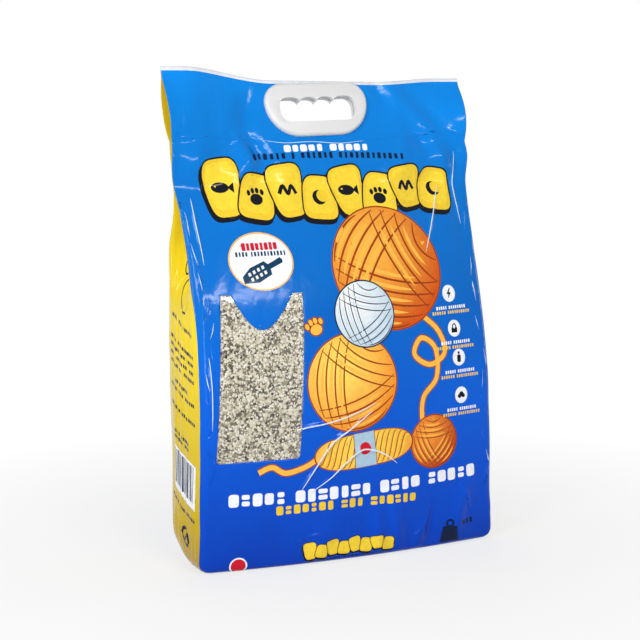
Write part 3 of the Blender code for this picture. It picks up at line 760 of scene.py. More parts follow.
@dataclass(frozen=True)
class FilmWeb:
    """The flat web of film and where each of its points lies on the filled bag.

    A place on the web is (w, v): w runs round the tube from the back's left edge over the left gusset and the
    front panel, whose middle is 0, to the right gusset and the back panel, and v is the height, below 0 for
    the foot.
    """

    sizes: FilmSizes = FilmSizes()
    panel_half: float = 0.135
    edge: float = 0.009
    foot: float = 0.036

    @property
    def valley(self) -> float:
        """Web distance from the middle of a panel to a gusset's valley."""
        return self.panel_half + self.edge + self.sizes.gusset_half

    @property
    def start(self) -> float:
        """Web place of the back's left edge, where the tube is closed."""
        return self.panel_half - 2 * self.valley

    @property
    def top(self) -> float:
        """Web height of the top edge."""
        return self.sizes.seal_height + self.sizes.header_height

    @lru_cache(maxsize=None)
    def level(self, height: float) -> Level:
        """The section at a height."""
        return Level(self.sizes, height)

    def on_front(self, x: float, z: float) -> Point2:
        """Web place of a point of the front panel."""
        return (x / self.level(z).reach * self.panel_half, z)

    def panel_depth(self, level: Level, x: float, side: int) -> float:
        """Depth of a panel before its folds.

        Args:
            level: the section.
            x: place across the panel.
            side: -1 for the front, 1 for the back.

        Returns:
            Its y.
        """
        sizes = self.sizes
        edge = level.front if side < 0 else level.back
        crown = level.front_crown if side < 0 else level.back_crown
        body = edge + side * crown * (1 - (x / level.reach) ** 2)
        thick = sizes.pinch_half / math.cos(sizes.lean)
        stack = sizes.stack_half / math.cos(sizes.lean)
        from_edge = level.half_width - abs(x)
        lip_end = level.plane + side * thick
        if from_edge < level.tuck:
            flat = mix(edge, lip_end, from_edge / max(level.tuck, sizes.film))
        else:
            flat = mix(lip_end, level.plane + side * stack, ease(0, 8 * sizes.lip, from_edge - level.tuck))
        return mix(body, flat, level.flat)

    def pressed(self, folds: tuple[Fold, ...], x: float, level: Level) -> float:
        """How far a panel's folds press it inwards, fading out at the seal, the edges and the foot.

        Args:
            folds: the panel's folds.
            x: place across the panel.
            level: the section.

        Returns:
            The depth there.
        """
        across = x / level.half_width
        up = level.height / self.sizes.seal_height
        fade = (1 - level.flat) * ease(0.0, 0.04, up) * (1 - ease(0.86, 1.0, abs(across)))
        if fade == 0.0:
            return 0.0
        return fade * sum(fold.push(across, up) for fold in folds)

    def ripple(self, x: float, header: float) -> float:
        """Waves of the header beside the handle."""
        sizes = self.sizes
        clear = ease(sizes.handle_width * 0.56, sizes.handle_width * 0.8, abs(x - sizes.handle_offset))
        wave = math.sin(x / sizes.panel_width * 20 + 0.6) + 0.35 * math.sin(x / sizes.panel_width * 33)
        return sizes.edge_ripple * wave * clear * ease(0.1, 1.0, header)

    def drape(self, x: float, header: float) -> float:
        """Soft upright waves of the empty header, the same in all its layers, flat by the handle.

        Args:
            x: place across the header.
            header: share of the header's height.

        Returns:
            What they add to y.
        """
        sizes = self.sizes
        clear = ease(sizes.handle_width * 0.54, sizes.handle_width * 0.74, abs(x - sizes.handle_offset))
        along = x / sizes.panel_width
        wave = math.sin(along * 29 + 2.2 + header) + 0.5 * math.sin(along * 47 - 1.5 * header + 0.4)
        return self.sizes.header_wave * wave * clear * math.sin(math.pi * min(header * 0.85 + 0.04, 1.0))

    def shared_push(self, x: float, v: float) -> float:
        """How far folds that run through all layers near the seal press them backwards.

        Args:
            x: place across the bag.
            v: web height.

        Returns:
            The depth there.
        """
        if v < SHARED_FROM:
            return 0.0
        sizes = self.sizes
        beside = ease(sizes.handle_width * 0.51, sizes.handle_width * 0.62, abs(x - sizes.handle_offset))
        clear = mix(1.0, beside, ease(sizes.seal_height - 0.004, sizes.seal_height + 0.004, v))
        return clear * sum(fold.push(x, v) for fold in SHARED_FOLDS)

    def top_rise(self, x: float) -> float:
        """How much higher than its middle the top edge stands at x."""
        sizes = self.sizes
        half = sizes.panel_width / 2
        left = sizes.left_ear * ease(sizes.handle_width * 0.42 / half, 0.86, -x / half)
        right = sizes.right_ear * ease(sizes.handle_width * 0.6 / half, 0.86, x / half)
        return left + right

    def foot_rise(self, x: float, y: float) -> float:
        """How far the foot stands clear of the floor: only at the back corners."""
        sizes = self.sizes
        sideways = ease(0.7, 1.0, abs(x) / (sizes.panel_width / 2))
        backwards = ease(-0.3, 0.9, y / (sizes.body_depth / 2))
        return sizes.foot_lift * sideways * backwards

    def plan(self, w: float, level: Level) -> Point2:
        """Plan of a web place in its level section, before folds.

        Args:
            w: distance round the web.
            level: the section.

        Returns:
            x and y.
        """
        if w < -self.valley:
            w += 4 * self.valley
        side = -1 if w <= self.valley else 1
        if side > 0:
            w = 2 * self.valley - w
        away = abs(w)
        hand = -1 if w < 0 else 1
        edge_y = level.front if side < 0 else level.back
        if away <= self.panel_half:
            x = level.reach * w / self.panel_half
            return (x, self.panel_depth(level, x, side))
        centre_x = -level.half_width + level.radius
        centre_y = edge_y - side * level.radius
        valley_x = -level.half_width + level.tuck
        valley_y = level.middle
        turn = math.atan2(level.tuck, abs(valley_y - centre_y))
        if away <= self.panel_half + self.edge:
            angle = mix(math.pi / 2, -turn, (away - self.panel_half) / self.edge)
            x = centre_x - level.radius * math.cos(angle)
            return (-hand * x, centre_y + side * level.radius * math.sin(angle))
        share = 1 - (away - self.panel_half - self.edge) / self.sizes.gusset_half
        start_x = centre_x - level.radius * math.cos(turn)
        start_y = centre_y - side * level.radius * math.sin(turn)
        x = mix(valley_x, start_x, share) - level.bow * (1 - share**2)
        return (-hand * x, mix(valley_y, start_y, share))

    def on_gusset(self, w: float) -> bool:
        """Whether a web place lies on one of the gussets."""
        return self.panel_half + self.edge < min(abs(w), abs(2 * self.valley - w), abs(2 * self.valley + w))

    def between_panels(self, x: float, y: float, level: Level) -> float:
        """A pinched gusset's depth, kept between the front and back panels at x.

        Args:
            x: place across the bag.
            y: its depth when free.
            level: the section.

        Returns:
            The depth kept.
        """
        front = self.panel_depth(level, x, -1) + self.pressed(FRONT_FOLDS, x, level)
        back = self.panel_depth(level, x, 1) - self.pressed(BACK_FOLDS, x, level)
        gap = min(self.sizes.film, (back - front) / 3)
        return min(max(y, front + gap), back - gap)

    def place(self, w: float, v: float) -> Vector:
        """Where a web place lies on the filled bag.

        Args:
            w: distance round the web.
            v: height, or below 0 how far the foot is drawn towards its seam.

        Returns:
            The point, in the bag's frame.
        """
        sizes = self.sizes
        level = self.level(max(v, 0.0))
        x, y = self.plan(w, level)
        share = min(max((y - level.front) / (level.back - level.front), 0.0), 1.0)
        closed = ease(0.8, 0.9, v / sizes.seal_height)
        y += self.pressed(FRONT_FOLDS, x, level) * (1 - share) - self.pressed(BACK_FOLDS, x, level) * share
        if closed and abs(x) < level.reach and self.on_gusset(w):
            y = self.between_panels(x, y, level)
        y += self.shared_push(x, v) * (1 - share * (1 - closed))
        if v < 0:
            drawn = max(1 + v / self.foot, 0.0)
            x *= 1 - sizes.seam_inset / (sizes.panel_width / 2) * (1 - drawn)
            y = mix(sizes.foot_seam_offset, y, drawn)
            return Vector((x, y, self.foot_rise(x, y)))
        rise = level.header * self.top_rise(x)
        near_foot = max(1 - v / (3 * sizes.foot_lift), 0.0)
        z = v + rise + near_foot * self.foot_rise(x, y)
        if level.header:
            y += rise * math.tan(sizes.lean) + self.ripple(x, level.header) + self.drape(x, level.header)
        return Vector((x, y, z))


# Print

class Ink(Enum):
    """Inks and film grounds, in the order of the film's material slots."""

    # SCUFF (SCUFF) is a pale ink laid along crease crests: a painted highlight standing in for their glints
    (BLUE, YELLOW, EDGE, NAVY, SUN, WHITE, RED, TEAL, BARK, AMBER, BALL_HIGH, BALL_LOW, BALL_PALE, BALL_RIGHT,
     DUSK, LEMON, SKEIN, SKY, SCUFF, CLEAR, HOLE) = range(21)


@dataclass
class PrintSheet:
    """The print on the web: closed fields of ink, later ones over earlier ones."""

    web: FilmWeb
    fields: list[tuple[Ink, Outline]] = field(default_factory=list)

    def lay(self, ink: Ink, outline: Outline) -> None:
        """Adds a field given in (x, z) of the front panel."""
        self.fields.append((ink, [self.web.on_front(x, z) for x, z in outline]))

    def lay_on_web(self, ink: Ink, outline: Outline) -> None:
        """Adds a field given in web places."""
        self.fields.append((ink, outline))


def turned(points: Outline, x: float, z: float, turn: float) -> Outline:
    """Points turned about the origin by degrees, then moved by x and z."""
    c, s = math.cos(math.radians(turn)), math.sin(math.radians(turn))
    return [(x + px * c - pz * s, z + px * s + pz * c) for px, pz in points]


def box(left: float, low: float, right: float, high: float) -> Outline:
    """A level rectangle."""
    return [(left, low), (right, low), (right, high), (left, high)]


def oval(x: float, z: float, half_x: float, half_z: float, steps: int = 28, turn: float = 0.0) -> Outline:
    """An ellipse of so many steps about its middle, turned by degrees."""
    angles = [2 * math.pi * i / steps for i in range(steps)]
    return turned([(half_x * math.cos(a), half_z * math.sin(a)) for a in angles], x, z, turn)


def disc(x: float, z: float, radius: float, steps: int) -> Outline:
    """A circle of so many steps about its middle."""
    return oval(x, z, radius, radius, steps)


def rounded_bar(x: float, z: float, length: float, height: float, turn: float = 0.0,
                round_share: float = 0.9) -> Outline:
    """A bar with rounded corners.

    Args:
        x: its middle's x.
        z: its middle's height.
        length: its length.
        height: its height.
        turn: its slant in degrees.
        round_share: radius of the corners, as a share of half the height.

    Returns:
        The outline.
    """
    radius = height / 2 * round_share
    corners = []
    for quarter, (sx, sz) in enumerate(((1, 1), (-1, 1), (-1, -1), (1, -1))):
        cx, cz = sx * (length / 2 - radius), sz * (height / 2 - radius)
        for i in range(4):
            around = math.pi / 2 * (quarter + i / 3)
            corners.append((cx + radius * math.cos(around), cz + radius * math.sin(around)))
    return turned(corners, x, z, turn)


def smooth_line(points: list[Point2], steps: int = 6) -> list[Point2]:
    """A smooth line through points, with steps pieces between each two.

    Args:
        points: the points.
        steps: how many pieces.

    Returns:
        The line.
    """
    line = []
    last = len(points) - 1
    for i in range(last):
        before, start, end, after = (points[max(i - 1, 0)], points[i], points[i + 1], points[min(i + 2, last)])
        for k in range(steps):
            s = k / steps
            weights = (-s**3 + 2 * s**2 - s, 3 * s**3 - 5 * s**2 + 2, -3 * s**3 + 4 * s**2 + s, s**3 - s**2)
            line.append(tuple(sum(w * p[axis] for w, p in zip(weights, (before, start, end, after))) / 2
                              for axis in (0, 1)))
    line.append(points[-1])
    return line


def ribbon(line: list[Point2], width: float, taper: float = 0.0) -> Outline:
    """A strip of a width along a line, its ends drawn in by a taper share.

    Args:
        line: its middle line.
        width: its width.
        taper: share of the width that its ends lose.

    Returns:
        The outline.
    """
    last = len(line) - 1
    halves = [width / 2 * (1 - taper * abs(2 * i / last - 1) ** 3) for i in range(last + 1)]
    left = [beside(line, i, half) for i, half in enumerate(halves)]
    right = [beside(line, i, -half) for i, half in enumerate(halves)]
    return left + right[::-1]


def shifted(outline: Outline, x: float, z: float) -> Outline:
    """An outline moved by x and z."""
    return [(px + x, pz + z) for px, pz in outline]


def grown(outline: Outline, margin: float) -> Outline:
    """A rounded outline grown about its middle by a margin.

    Args:
        outline: the outline.
        margin: the margin.

    Returns:
        The larger outline.
    """
    cx = sum(p[0] for p in outline) / len(outline)
    cz = sum(p[1] for p in outline) / len(outline)
    points = []
    for x, z in outline:
        size = math.hypot(x - cx, z - cz) or 1.0
        points.append((x + (x - cx) / size * margin, z + (z - cz) / size * margin))
    return points


class Motif(Enum):
    """What is cut out of a play block, in the order along the row."""

    FISH, PAW, ZIGZAG, MOON = range(4)


class Sign(Enum):
    """Signs of the column of white ovals, from above."""

    BOLT, PADLOCK, BOTTLE, CLOUD = range(4)


@dataclass(frozen=True)
class PlayBlocks:
    """A row of plump, tumbling yellow blocks with small cut-out motifs."""

    left: float = -0.1155
    right: float = 0.1215
    ends: Point2 = (0.3245, 0.3275)
    middle: float = 0.3195
    hop: float = 0.003
    outline: float = 0.0015
    drop: Point2 = (-0.002, -0.003)
    heights: tuple[float, ...] = (0.05, 0.039, 0.046, 0.038, 0.043, 0.04, 0.037, 0.038)
    turns: tuple[float, ...] = (6, -10, 7, -4, 10, -8, 9, -7)
    motifs: bool = True

    def block(self, x: float, z: float, width: float, height: float, turn: float, lean: float) -> Outline:
        """A plump four-sided shape with round corners.

        Args:
            x: its middle's x.
            z: its middle's height.
            width: its width.
            height: its height.
            turn: its slant in degrees.
            lean: how much wider it is above than below.

        Returns:
            The outline.
        """
        points = []
        for px, pz in oval(0.0, 0.0, 1.0, 1.0, 32):
            px = width / 2 * math.copysign(abs(px) ** 0.5, px)
            pz = height / 2 * math.copysign(abs(pz) ** 0.5, pz)
            points.append((px * (1 + lean * pz / height), pz))
        return turned(points, x, z, turn)

    def motif(self, sheet: PrintSheet, kind: Motif, x: float, z: float) -> None:
        """Lays a motif in the middle of a block.

        Args:
            sheet: the print.
            kind: which motif.
            x: the block's middle.
            z: its height.
        """
        if kind is Motif.FISH:
            sheet.lay(Ink.NAVY, oval(x - 0.0018, z, 0.0078, 0.0046))
            sheet.lay(Ink.NAVY, [(x + 0.0046, z), (x + 0.01, z + 0.0046), (x + 0.01, z - 0.0046)])
            sheet.lay(Ink.SUN, disc(x - 0.0058, z + 0.001, 0.0009, 10))
        elif kind is Motif.PAW:
            sheet.lay(Ink.NAVY, oval(x, z - 0.0026, 0.006, 0.0048))
            for i in range(4):
                lift = 0.0056 - 0.0016 * abs(i - 1.5)
                sheet.lay(Ink.NAVY, oval(x + (i - 1.5) * 0.0044, z + lift, 0.0018, 0.0026, 14))
        elif kind is Motif.ZIGZAG:
            wave = shifted([mm(-8, -3), mm(-4, 4), mm(0, -3), mm(4, 4), mm(8, -3)], x, z)
            sheet.lay(Ink.NAVY, ribbon(smooth_line(wave, 5), 0.0032))
        else:
            sheet.lay(Ink.NAVY, disc(x, z, 0.0064, 28))
            sheet.lay(Ink.SUN, disc(x + 0.003, z + 0.0012, 0.0052, 28))

    def print_on(self, sheet: PrintSheet) -> None:
        """Lays shadows, outlines, the blocks and their motifs."""
        count = len(self.heights)
        pitch = (self.right - self.left) / count
        blocks = []
        for i, (height, turn) in enumerate(zip(self.heights, self.turns)):
            share = (i + 0.5) / count
            x = self.left + pitch * (i + 0.5)
            sag = 4 * share * (1 - share)
            z = mix(mix(*self.ends, share), self.middle, sag) + self.hop * (-1) ** i
            blocks.append((x, z, self.block(x, z, pitch * 1.04, height, turn, 0.28 * (-1) ** i)))
        for _, _, shape in blocks:
            sheet.lay(Ink.NAVY, shifted(grown(shape, self.outline), *self.drop))
        for i, (x, z, shape) in enumerate(blocks):
            sheet.lay(Ink.NAVY, grown(shape, self.outline))
            sheet.lay(Ink.SUN, shape)
            sheet.lay(Ink.LEMON, [(mix(x, px, 0.82), mix(z, pz, 0.82) + self.outline) for px, pz in shape])
            if self.motifs:
                self.motif(sheet, Motif(i % len(Motif)), x, z)


@dataclass(frozen=True)
class YarnBall:
    """A printed ball of yarn: an outline, an airbrushed ground and curved strands."""

    ink: Ink
    x: float
    z: float
    radius: float
    turn: float
    strands: int = 4
    dark: Ink = Ink.BARK
    light: Ink = Ink.AMBER

    def strand(self, bend: float, offset: float, turn: float) -> list[Point2]:
        """One strand, a shallow arc across the ball.

        Args:
            bend: how far its middle bows.
            offset: its distance from the ball's middle.
            turn: its slant in degrees.

        Returns:
            Points of its middle line.
        """
        points = []
        inner = self.radius * 0.97
        half = math.sqrt(max(inner**2 - offset**2, 0.0))
        for i in range(15):
            s = 2 * i / 14 - 1
            px, pz = half * s * 0.985, offset + bend * (1 - s * s)
            size = math.hypot(px, pz)
            if size > inner:
                px, pz = px * inner / size, pz * inner / size
            points.append((px, pz))
        return turned(points, self.x, self.z, turn)

    def print_on(self, sheet: PrintSheet) -> None:
        """Lays the ball."""
        sheet.lay(self.dark, disc(self.x, self.z, self.radius + 0.0012, 56))
        sheet.lay(self.ink, disc(self.x, self.z, self.radius, 56))
        pitch = self.radius * 0.25
        for group, (turn, start) in enumerate(((0, -0.82), (68, 0.05), (-48, 0.3))):
            turn += self.turn
            for i in range(self.strands):
                offset = start * self.radius + pitch * i * 0.8
                if abs(offset) > self.radius * 0.9:
                    continue
                bend = self.radius * 0.16 * (1 if group % 2 else -1)
                sheet.lay(self.dark, ribbon(self.strand(bend, offset, turn), self.radius * 0.034, 0.6))
                glint = self.strand(bend, offset + pitch * 0.34, turn)[2:12]
                sheet.lay(self.light, ribbon(glint, self.radius * 0.06, 0.9))


@dataclass(frozen=True)
class YarnSkein:
    """A printed skein of yarn that lies on its side, with a paper band round its middle."""

    x: float = 0.006
    z: float = 0.0985
    length: float = 0.094
    height: float = 0.031
    turn: float = 5.0
    strands: int = 15
    band: float = 0.02

    def slanted(self, points: Outline) -> Outline:
        """Points of the level skein turned to its slant."""
        return turned(points, self.x, self.z, self.turn)

    def half_height(self, x: float) -> float:
        """Half the skein's height at a distance from its middle."""
        share = abs(2 * x / self.length)
        return self.height / 2 * (1 - share**3.2) ** 0.5 * (0.92 + 0.1 * share)

    def print_on(self, sheet: PrintSheet) -> None:
        """Lays the skein, its slanting strands and its band."""
        xs = [self.length / 2 * math.sin(math.pi * (i / 36 - 0.5)) for i in range(37)]
        upper = [(x, self.half_height(x)) for x in xs]
        lower = [(x, -self.half_height(x)) for x in reversed(xs[1:-1])]
        shape = self.slanted(upper + lower)
        sheet.lay(Ink.BARK, grown(shape, 0.0013))
        sheet.lay(Ink.SKEIN, shape)
        for i in range(self.strands):
            start = mix(-0.47, 0.33, i / (self.strands - 1)) * self.length
            for ink, shift, width in ((Ink.BARK, 0.0, 0.0009), (Ink.LEMON, 0.0022, 0.0013)):
                line = []
                for k in range(9):
                    x = start + shift + self.length * 0.13 * k / 8
                    reach = 0.95 * self.half_height(min(max(x, -self.length * 0.49), self.length * 0.49))
                    line.append((x, reach * math.sin(math.pi * (k / 8 - 0.5))))
                sheet.lay(ink, self.slanted(ribbon(line, width, 0.5)))
        half = self.band / 2
        tall = self.half_height(half) + 0.0006
        sheet.lay(Ink.BARK, self.slanted(box(-half - 0.0006, -tall, half + 0.0006, tall)))
        sheet.lay(Ink.BALL_PALE, self.slanted(box(-half, -tall, half, tall)))
        sheet.lay(Ink.RED, self.slanted(disc(0, 0.001, half * 0.55, 22)))


@dataclass(frozen=True)
class YarnPicture:
    """The large picture on the front: yarn balls, a skein, a loose end of yarn and a paw print."""

    tail: tuple[Point2, ...] = (
        mm(66, 214), mm(84, 198), mm(90, 178), mm(74, 168), mm(58, 178), mm(66, 192), mm(80, 182), mm(80, 156),
        mm(66, 140), mm(64, 120), mm(70, 104),
    )
    loose_end: tuple[Point2, ...] = (
        mm(-36, 96), mm(-50, 88), mm(-68, 84), mm(-80, 90), mm(-92, 86),
    )
    tail_width: float = 0.0046
    balls: tuple[YarnBall, ...] = (
        YarnBall(Ink.BALL_LOW, -0.004, 0.158, 0.042, 20, 4),
        YarnBall(Ink.BALL_HIGH, 0.041, 0.254, 0.053, -15, 5),
        YarnBall(Ink.BALL_PALE, 0.012, 0.216, 0.028, 35, 4, Ink.DUSK, Ink.SKY),
        YarnBall(Ink.BALL_RIGHT, 0.076, 0.099, 0.0235, 50, 4),
    )
    paw_at: Point2 = mm(-36, 207)
    paw_size: float = 0.009
    paw_turn: float = 20.0

    def paw(self, sheet: PrintSheet) -> None:
        """Lays a paw print of one pad and four toes.

        Args:
            sheet: the print.
        """
        size, turn = self.paw_size, self.paw_turn
        parts = [(0.0, -0.25, 0.62, 0.5)]
        parts += [((i - 1.5) * 0.5, 0.62 - 0.16 * abs(i - 1.5) ** 1.5, 0.21, 0.3) for i in range(4)]
        for grow, ink in ((0.001, Ink.BARK), (0.0, Ink.AMBER)):
            for px, pz, half_x, half_z in parts:
                middle = turned([(size * px, size * pz)], *self.paw_at, turn)[0]
                sheet.lay(ink, oval(*middle, size * half_x + grow, size * half_z + grow, 20, turn))

    def print_on(self, sheet: PrintSheet) -> None:
        """Lays the yarn, the balls, the skein and the paw."""
        for points in (self.tail, self.loose_end):
            line = smooth_line(list(points), 6)
            sheet.lay(Ink.BARK, ribbon(line, self.tail_width + 0.0018))
            sheet.lay(Ink.AMBER, ribbon(line, self.tail_width))
        for ball in self.balls:
            ball.print_on(sheet)
        YarnSkein().print_on(sheet)
        self.paw(sheet)


@dataclass(frozen=True)
class WordMarks:
    """Rows of small marks, in runs, in the places of printed words.

    Every third of the tallest marks is made of two bars, one over the other. The lowest ones are plain boxes.
    """

    gap: float = 0.7
    stacked_from: float = 0.0075
    rounded_from: float = 0.004
    talls: tuple[float, ...] = (1.0, 0.94, 1.0, 0.9)
    wides: tuple[float, ...] = (1.0, 0.78, 0.96, 0.9, 0.7)

    def run(self, sheet: PrintSheet, ink: Ink, start: Point2, end: Point2, runs: tuple[int, ...], height: float,
            sag: float = 0.0, share: float = 0.86) -> None:
        """Lays a row of marks.

        Args:
            sheet: the print.
            ink: the marks' ink.
            start: left end of the row's middle line.
            end: right end.
            runs: how many marks each run has.
            height: height of the marks.
            sag: how far the middle of the row hangs below its ends.
            share: width of a mark, as a share of the pitch.
        """
        slots = sum(runs) + self.gap * (len(runs) - 1)
        pitch = (end[0] - start[0]) / slots
        place = 0.5
        number = 0
        for run in runs:
            for _ in range(run):
                along = place / slots
                x = mix(start[0], end[0], along)
                z = mix(start[1], end[1], along) - sag * 4 * along * (1 - along)
                slope = ((end[1] - start[1]) - sag * 4 * (1 - 2 * along)) / (end[0] - start[0])
                tall = height * self.talls[number % len(self.talls)]
                wide = pitch * share * self.wides[number % len(self.wides)]
                turn = math.degrees(math.atan(slope))
                if height > self.stacked_from and number % 3 == 1:
                    for part in (-1, 1):
                        sheet.lay(ink, rounded_bar(x, z + part * tall * 0.27, wide, tall * 0.4, turn, 0.7))
                elif height > self.rounded_from:
                    sheet.lay(ink, rounded_bar(x, z, wide, tall, turn, 0.55 * min(wide / tall, 1.0)))
                else:
                    mark = box(x - wide / 2, z - tall / 2, x + wide / 2, z + tall / 2)
                    sheet.lay(ink, [(px, pz + slope * wide * (px > x)) for px, pz in mark])
                place += 1
                number += 1
            place += self.gap

    def print_on(self, sheet: PrintSheet) -> None:
        """Lays all rows of the front."""
        self.run(sheet, Ink.WHITE, mm(-40, 359.5), mm(44, 360.5), (5, 5), 0.0062, -0.0005)
        self.run(sheet, Ink.DUSK, mm(-71, 352), mm(78, 352), (6, 1, 6, 12), 0.0056, -0.0018, 0.62)
        self.run(sheet, Ink.WHITE, mm(-119, 63.5), mm(121, 68.5), (5, 7, 4, 5), 0.0112, 0.003)
        self.run(sheet, Ink.SUN, mm(-77, 51.2), mm(58, 50.6), (7, 3, 6), 0.008, -0.001, 0.8)
        self.run(sheet, Ink.DUSK, mm(-46, 3.4), mm(30, 4.4), (8, 12), 0.0014)


@dataclass(frozen=True)
class ScoopBadge:
    """The white badge with a golden ring, a scoop pictogram and two rows of marks."""

    x: float = -0.077
    z: float = 0.264
    half_x: float = 0.029
    half_z: float = 0.0245
    scoop: Point2 = (-0.002, -0.0088)
    turn: float = 25.0
    scale: float = 1.38

    def slanted(self, points: Outline) -> Outline:
        """Points of the level scoop, given in millimetres, scaled and turned to its slant."""
        sized = [mm(self.scale * px, self.scale * pz) for px, pz in points]
        return turned(sized, self.x + self.scoop[0], self.z + self.scoop[1], self.turn)

    def print_on(self, sheet: PrintSheet) -> None:
        """Lays the badge."""
        for ink, shrink in ((Ink.AMBER, 0.0), (Ink.WHITE, 0.0013)):
            sheet.lay(ink, oval(self.x, self.z, self.half_x - shrink, self.half_z - shrink, 44))
        marks = WordMarks()
        rows = [(-0.016, 0.0122), (0.0165, 0.0128), (-0.0225, 0.006), (0.0235, 0.0066)]
        red_start, red_end, low_start, low_end = shifted(rows, self.x, self.z)
        marks.run(sheet, Ink.RED, red_start, red_end, (8,), 0.0066)
        marks.run(sheet, Ink.TEAL, low_start, low_end, (4, 11), 0.0041, 0.0, 0.66)
        tray = [(-13, -1.6), (-4, -5.2), (6, -4.6), (7.5, 0.4), (5.5, 4.6), (-5, 5.0), (-12, 2.4)]
        grip = [(6, -1.4), (16, -1.6), (17, 0.2), (16, 2.0), (6, 1.8)]
        for shape in (tray, grip):
            sheet.lay(Ink.TEAL, self.slanted(shape))
        for row in (-1.7, 1.7):
            for left in (-8.0, -4.7, -1.4, 1.9):
                low, high = row - 1.0, row + 1.0
                slot = [(left, low), (left + 1.7, low), (left + 1.9, high), (left + 0.2, high)]
                sheet.lay(Ink.WHITE, self.slanted(slot))


@dataclass(frozen=True)
class CareIcons:
    """The column of white ovals with small signs, each over a white and a yellow row of bars."""

    places: tuple[Point2, ...] = (mm(100, 229), mm(102, 198), mm(105, 172), mm(106, 138))
    half_x: float = 0.0068
    half_z: float = 0.0075

    def sign(self, sheet: PrintSheet, kind: Sign, x: float, z: float) -> None:
        """Lays a sign in an oval.

        Args:
            sheet: the print.
            kind: which sign.
            x: the oval's middle.
            z: its height.
        """
        if kind is Sign.BOLT:
            shape = [(0.8, 4.6), (-2.4, -0.6), (-0.4, -0.6), (-1.2, -4.8), (2.4, 0.8), (0.3, 0.8), (1.8, 4.6)]
            sheet.lay(Ink.NAVY, shifted([mm(*p) for p in shape], x, z))
        elif kind is Sign.PADLOCK:
            sheet.lay(Ink.NAVY, rounded_bar(x, z - 0.0015, 0.0062, 0.0046, 0, 0.3))
            sheet.lay(Ink.NAVY, oval(x, z + 0.0015, 0.0023, 0.003, 18))
            sheet.lay(Ink.WHITE, oval(x, z + 0.0016, 0.0012, 0.0018, 14))
        elif kind is Sign.BOTTLE:
            sheet.lay(Ink.NAVY, rounded_bar(x, z - 0.001, 0.004, 0.0068, 0, 0.4))
            sheet.lay(Ink.NAVY, rounded_bar(x, z + 0.004, 0.002, 0.0024, 0, 0.4))
        else:
            for px, pz, size in ((-1.8, -0.8, 2.0), (0.2, 0.8, 2.4), (2.2, -0.6, 1.8)):
                sheet.lay(Ink.NAVY, disc(x + px / 1000, z + pz / 1000, size / 1000, 16))

    def print_on(self, sheet: PrintSheet) -> None:
        """Lays every oval with its sign and rows of marks."""
        marks = WordMarks()
        for kind, (x, z) in zip(Sign, self.places):
            sheet.lay(Ink.WHITE, oval(x, z, self.half_x, self.half_z, 30))
            self.sign(sheet, kind, x, z)
            rows = [(-0.0155, -0.0128), (0.0165, -0.0118), (-0.02, -0.0172), (0.0205, -0.016)]
            upper_start, upper_end, lower_start, lower_end = shifted(rows, x, z)
            marks.run(sheet, Ink.WHITE, upper_start, upper_end, (5, 8), 0.0029, 0.0, 0.72)
            marks.run(sheet, Ink.SUN, lower_start, lower_end, (6, 10), 0.0028, 0.0, 0.72)


@dataclass(frozen=True)
class WeightSign:
    """The dark weight pictogram in the lower right corner and the red dot in the left one."""

    x: float = 0.094
    z: float = 0.0135
    dot: Point2 = mm(-110, 6)

    def print_on(self, sheet: PrintSheet) -> None:
        """Lays the weight with its ring, and the dot."""
        body = [mm(-10, -9.5), mm(10, -9.5), mm(6.5, 5), mm(-6.5, 5)]
        ring = self.z + 0.0078
        sheet.lay(Ink.DUSK, disc(self.x, ring, 0.004, 22))
        sheet.lay(Ink.DUSK, shifted(body, self.x, self.z))
        sheet.lay(Ink.BLUE, disc(self.x, ring, 0.002, 16))
        start, end = shifted([mm(12, 7), mm(26, 7.8)], self.x, self.z)
        WordMarks().run(sheet, Ink.DUSK, start, end, (3,), 0.005, 0.0, 0.7)
        sheet.lay(Ink.WHITE, oval(*self.dot, 0.008, 0.0076, 30))
        sheet.lay(Ink.RED, oval(*self.dot, 0.0066, 0.0062, 30))


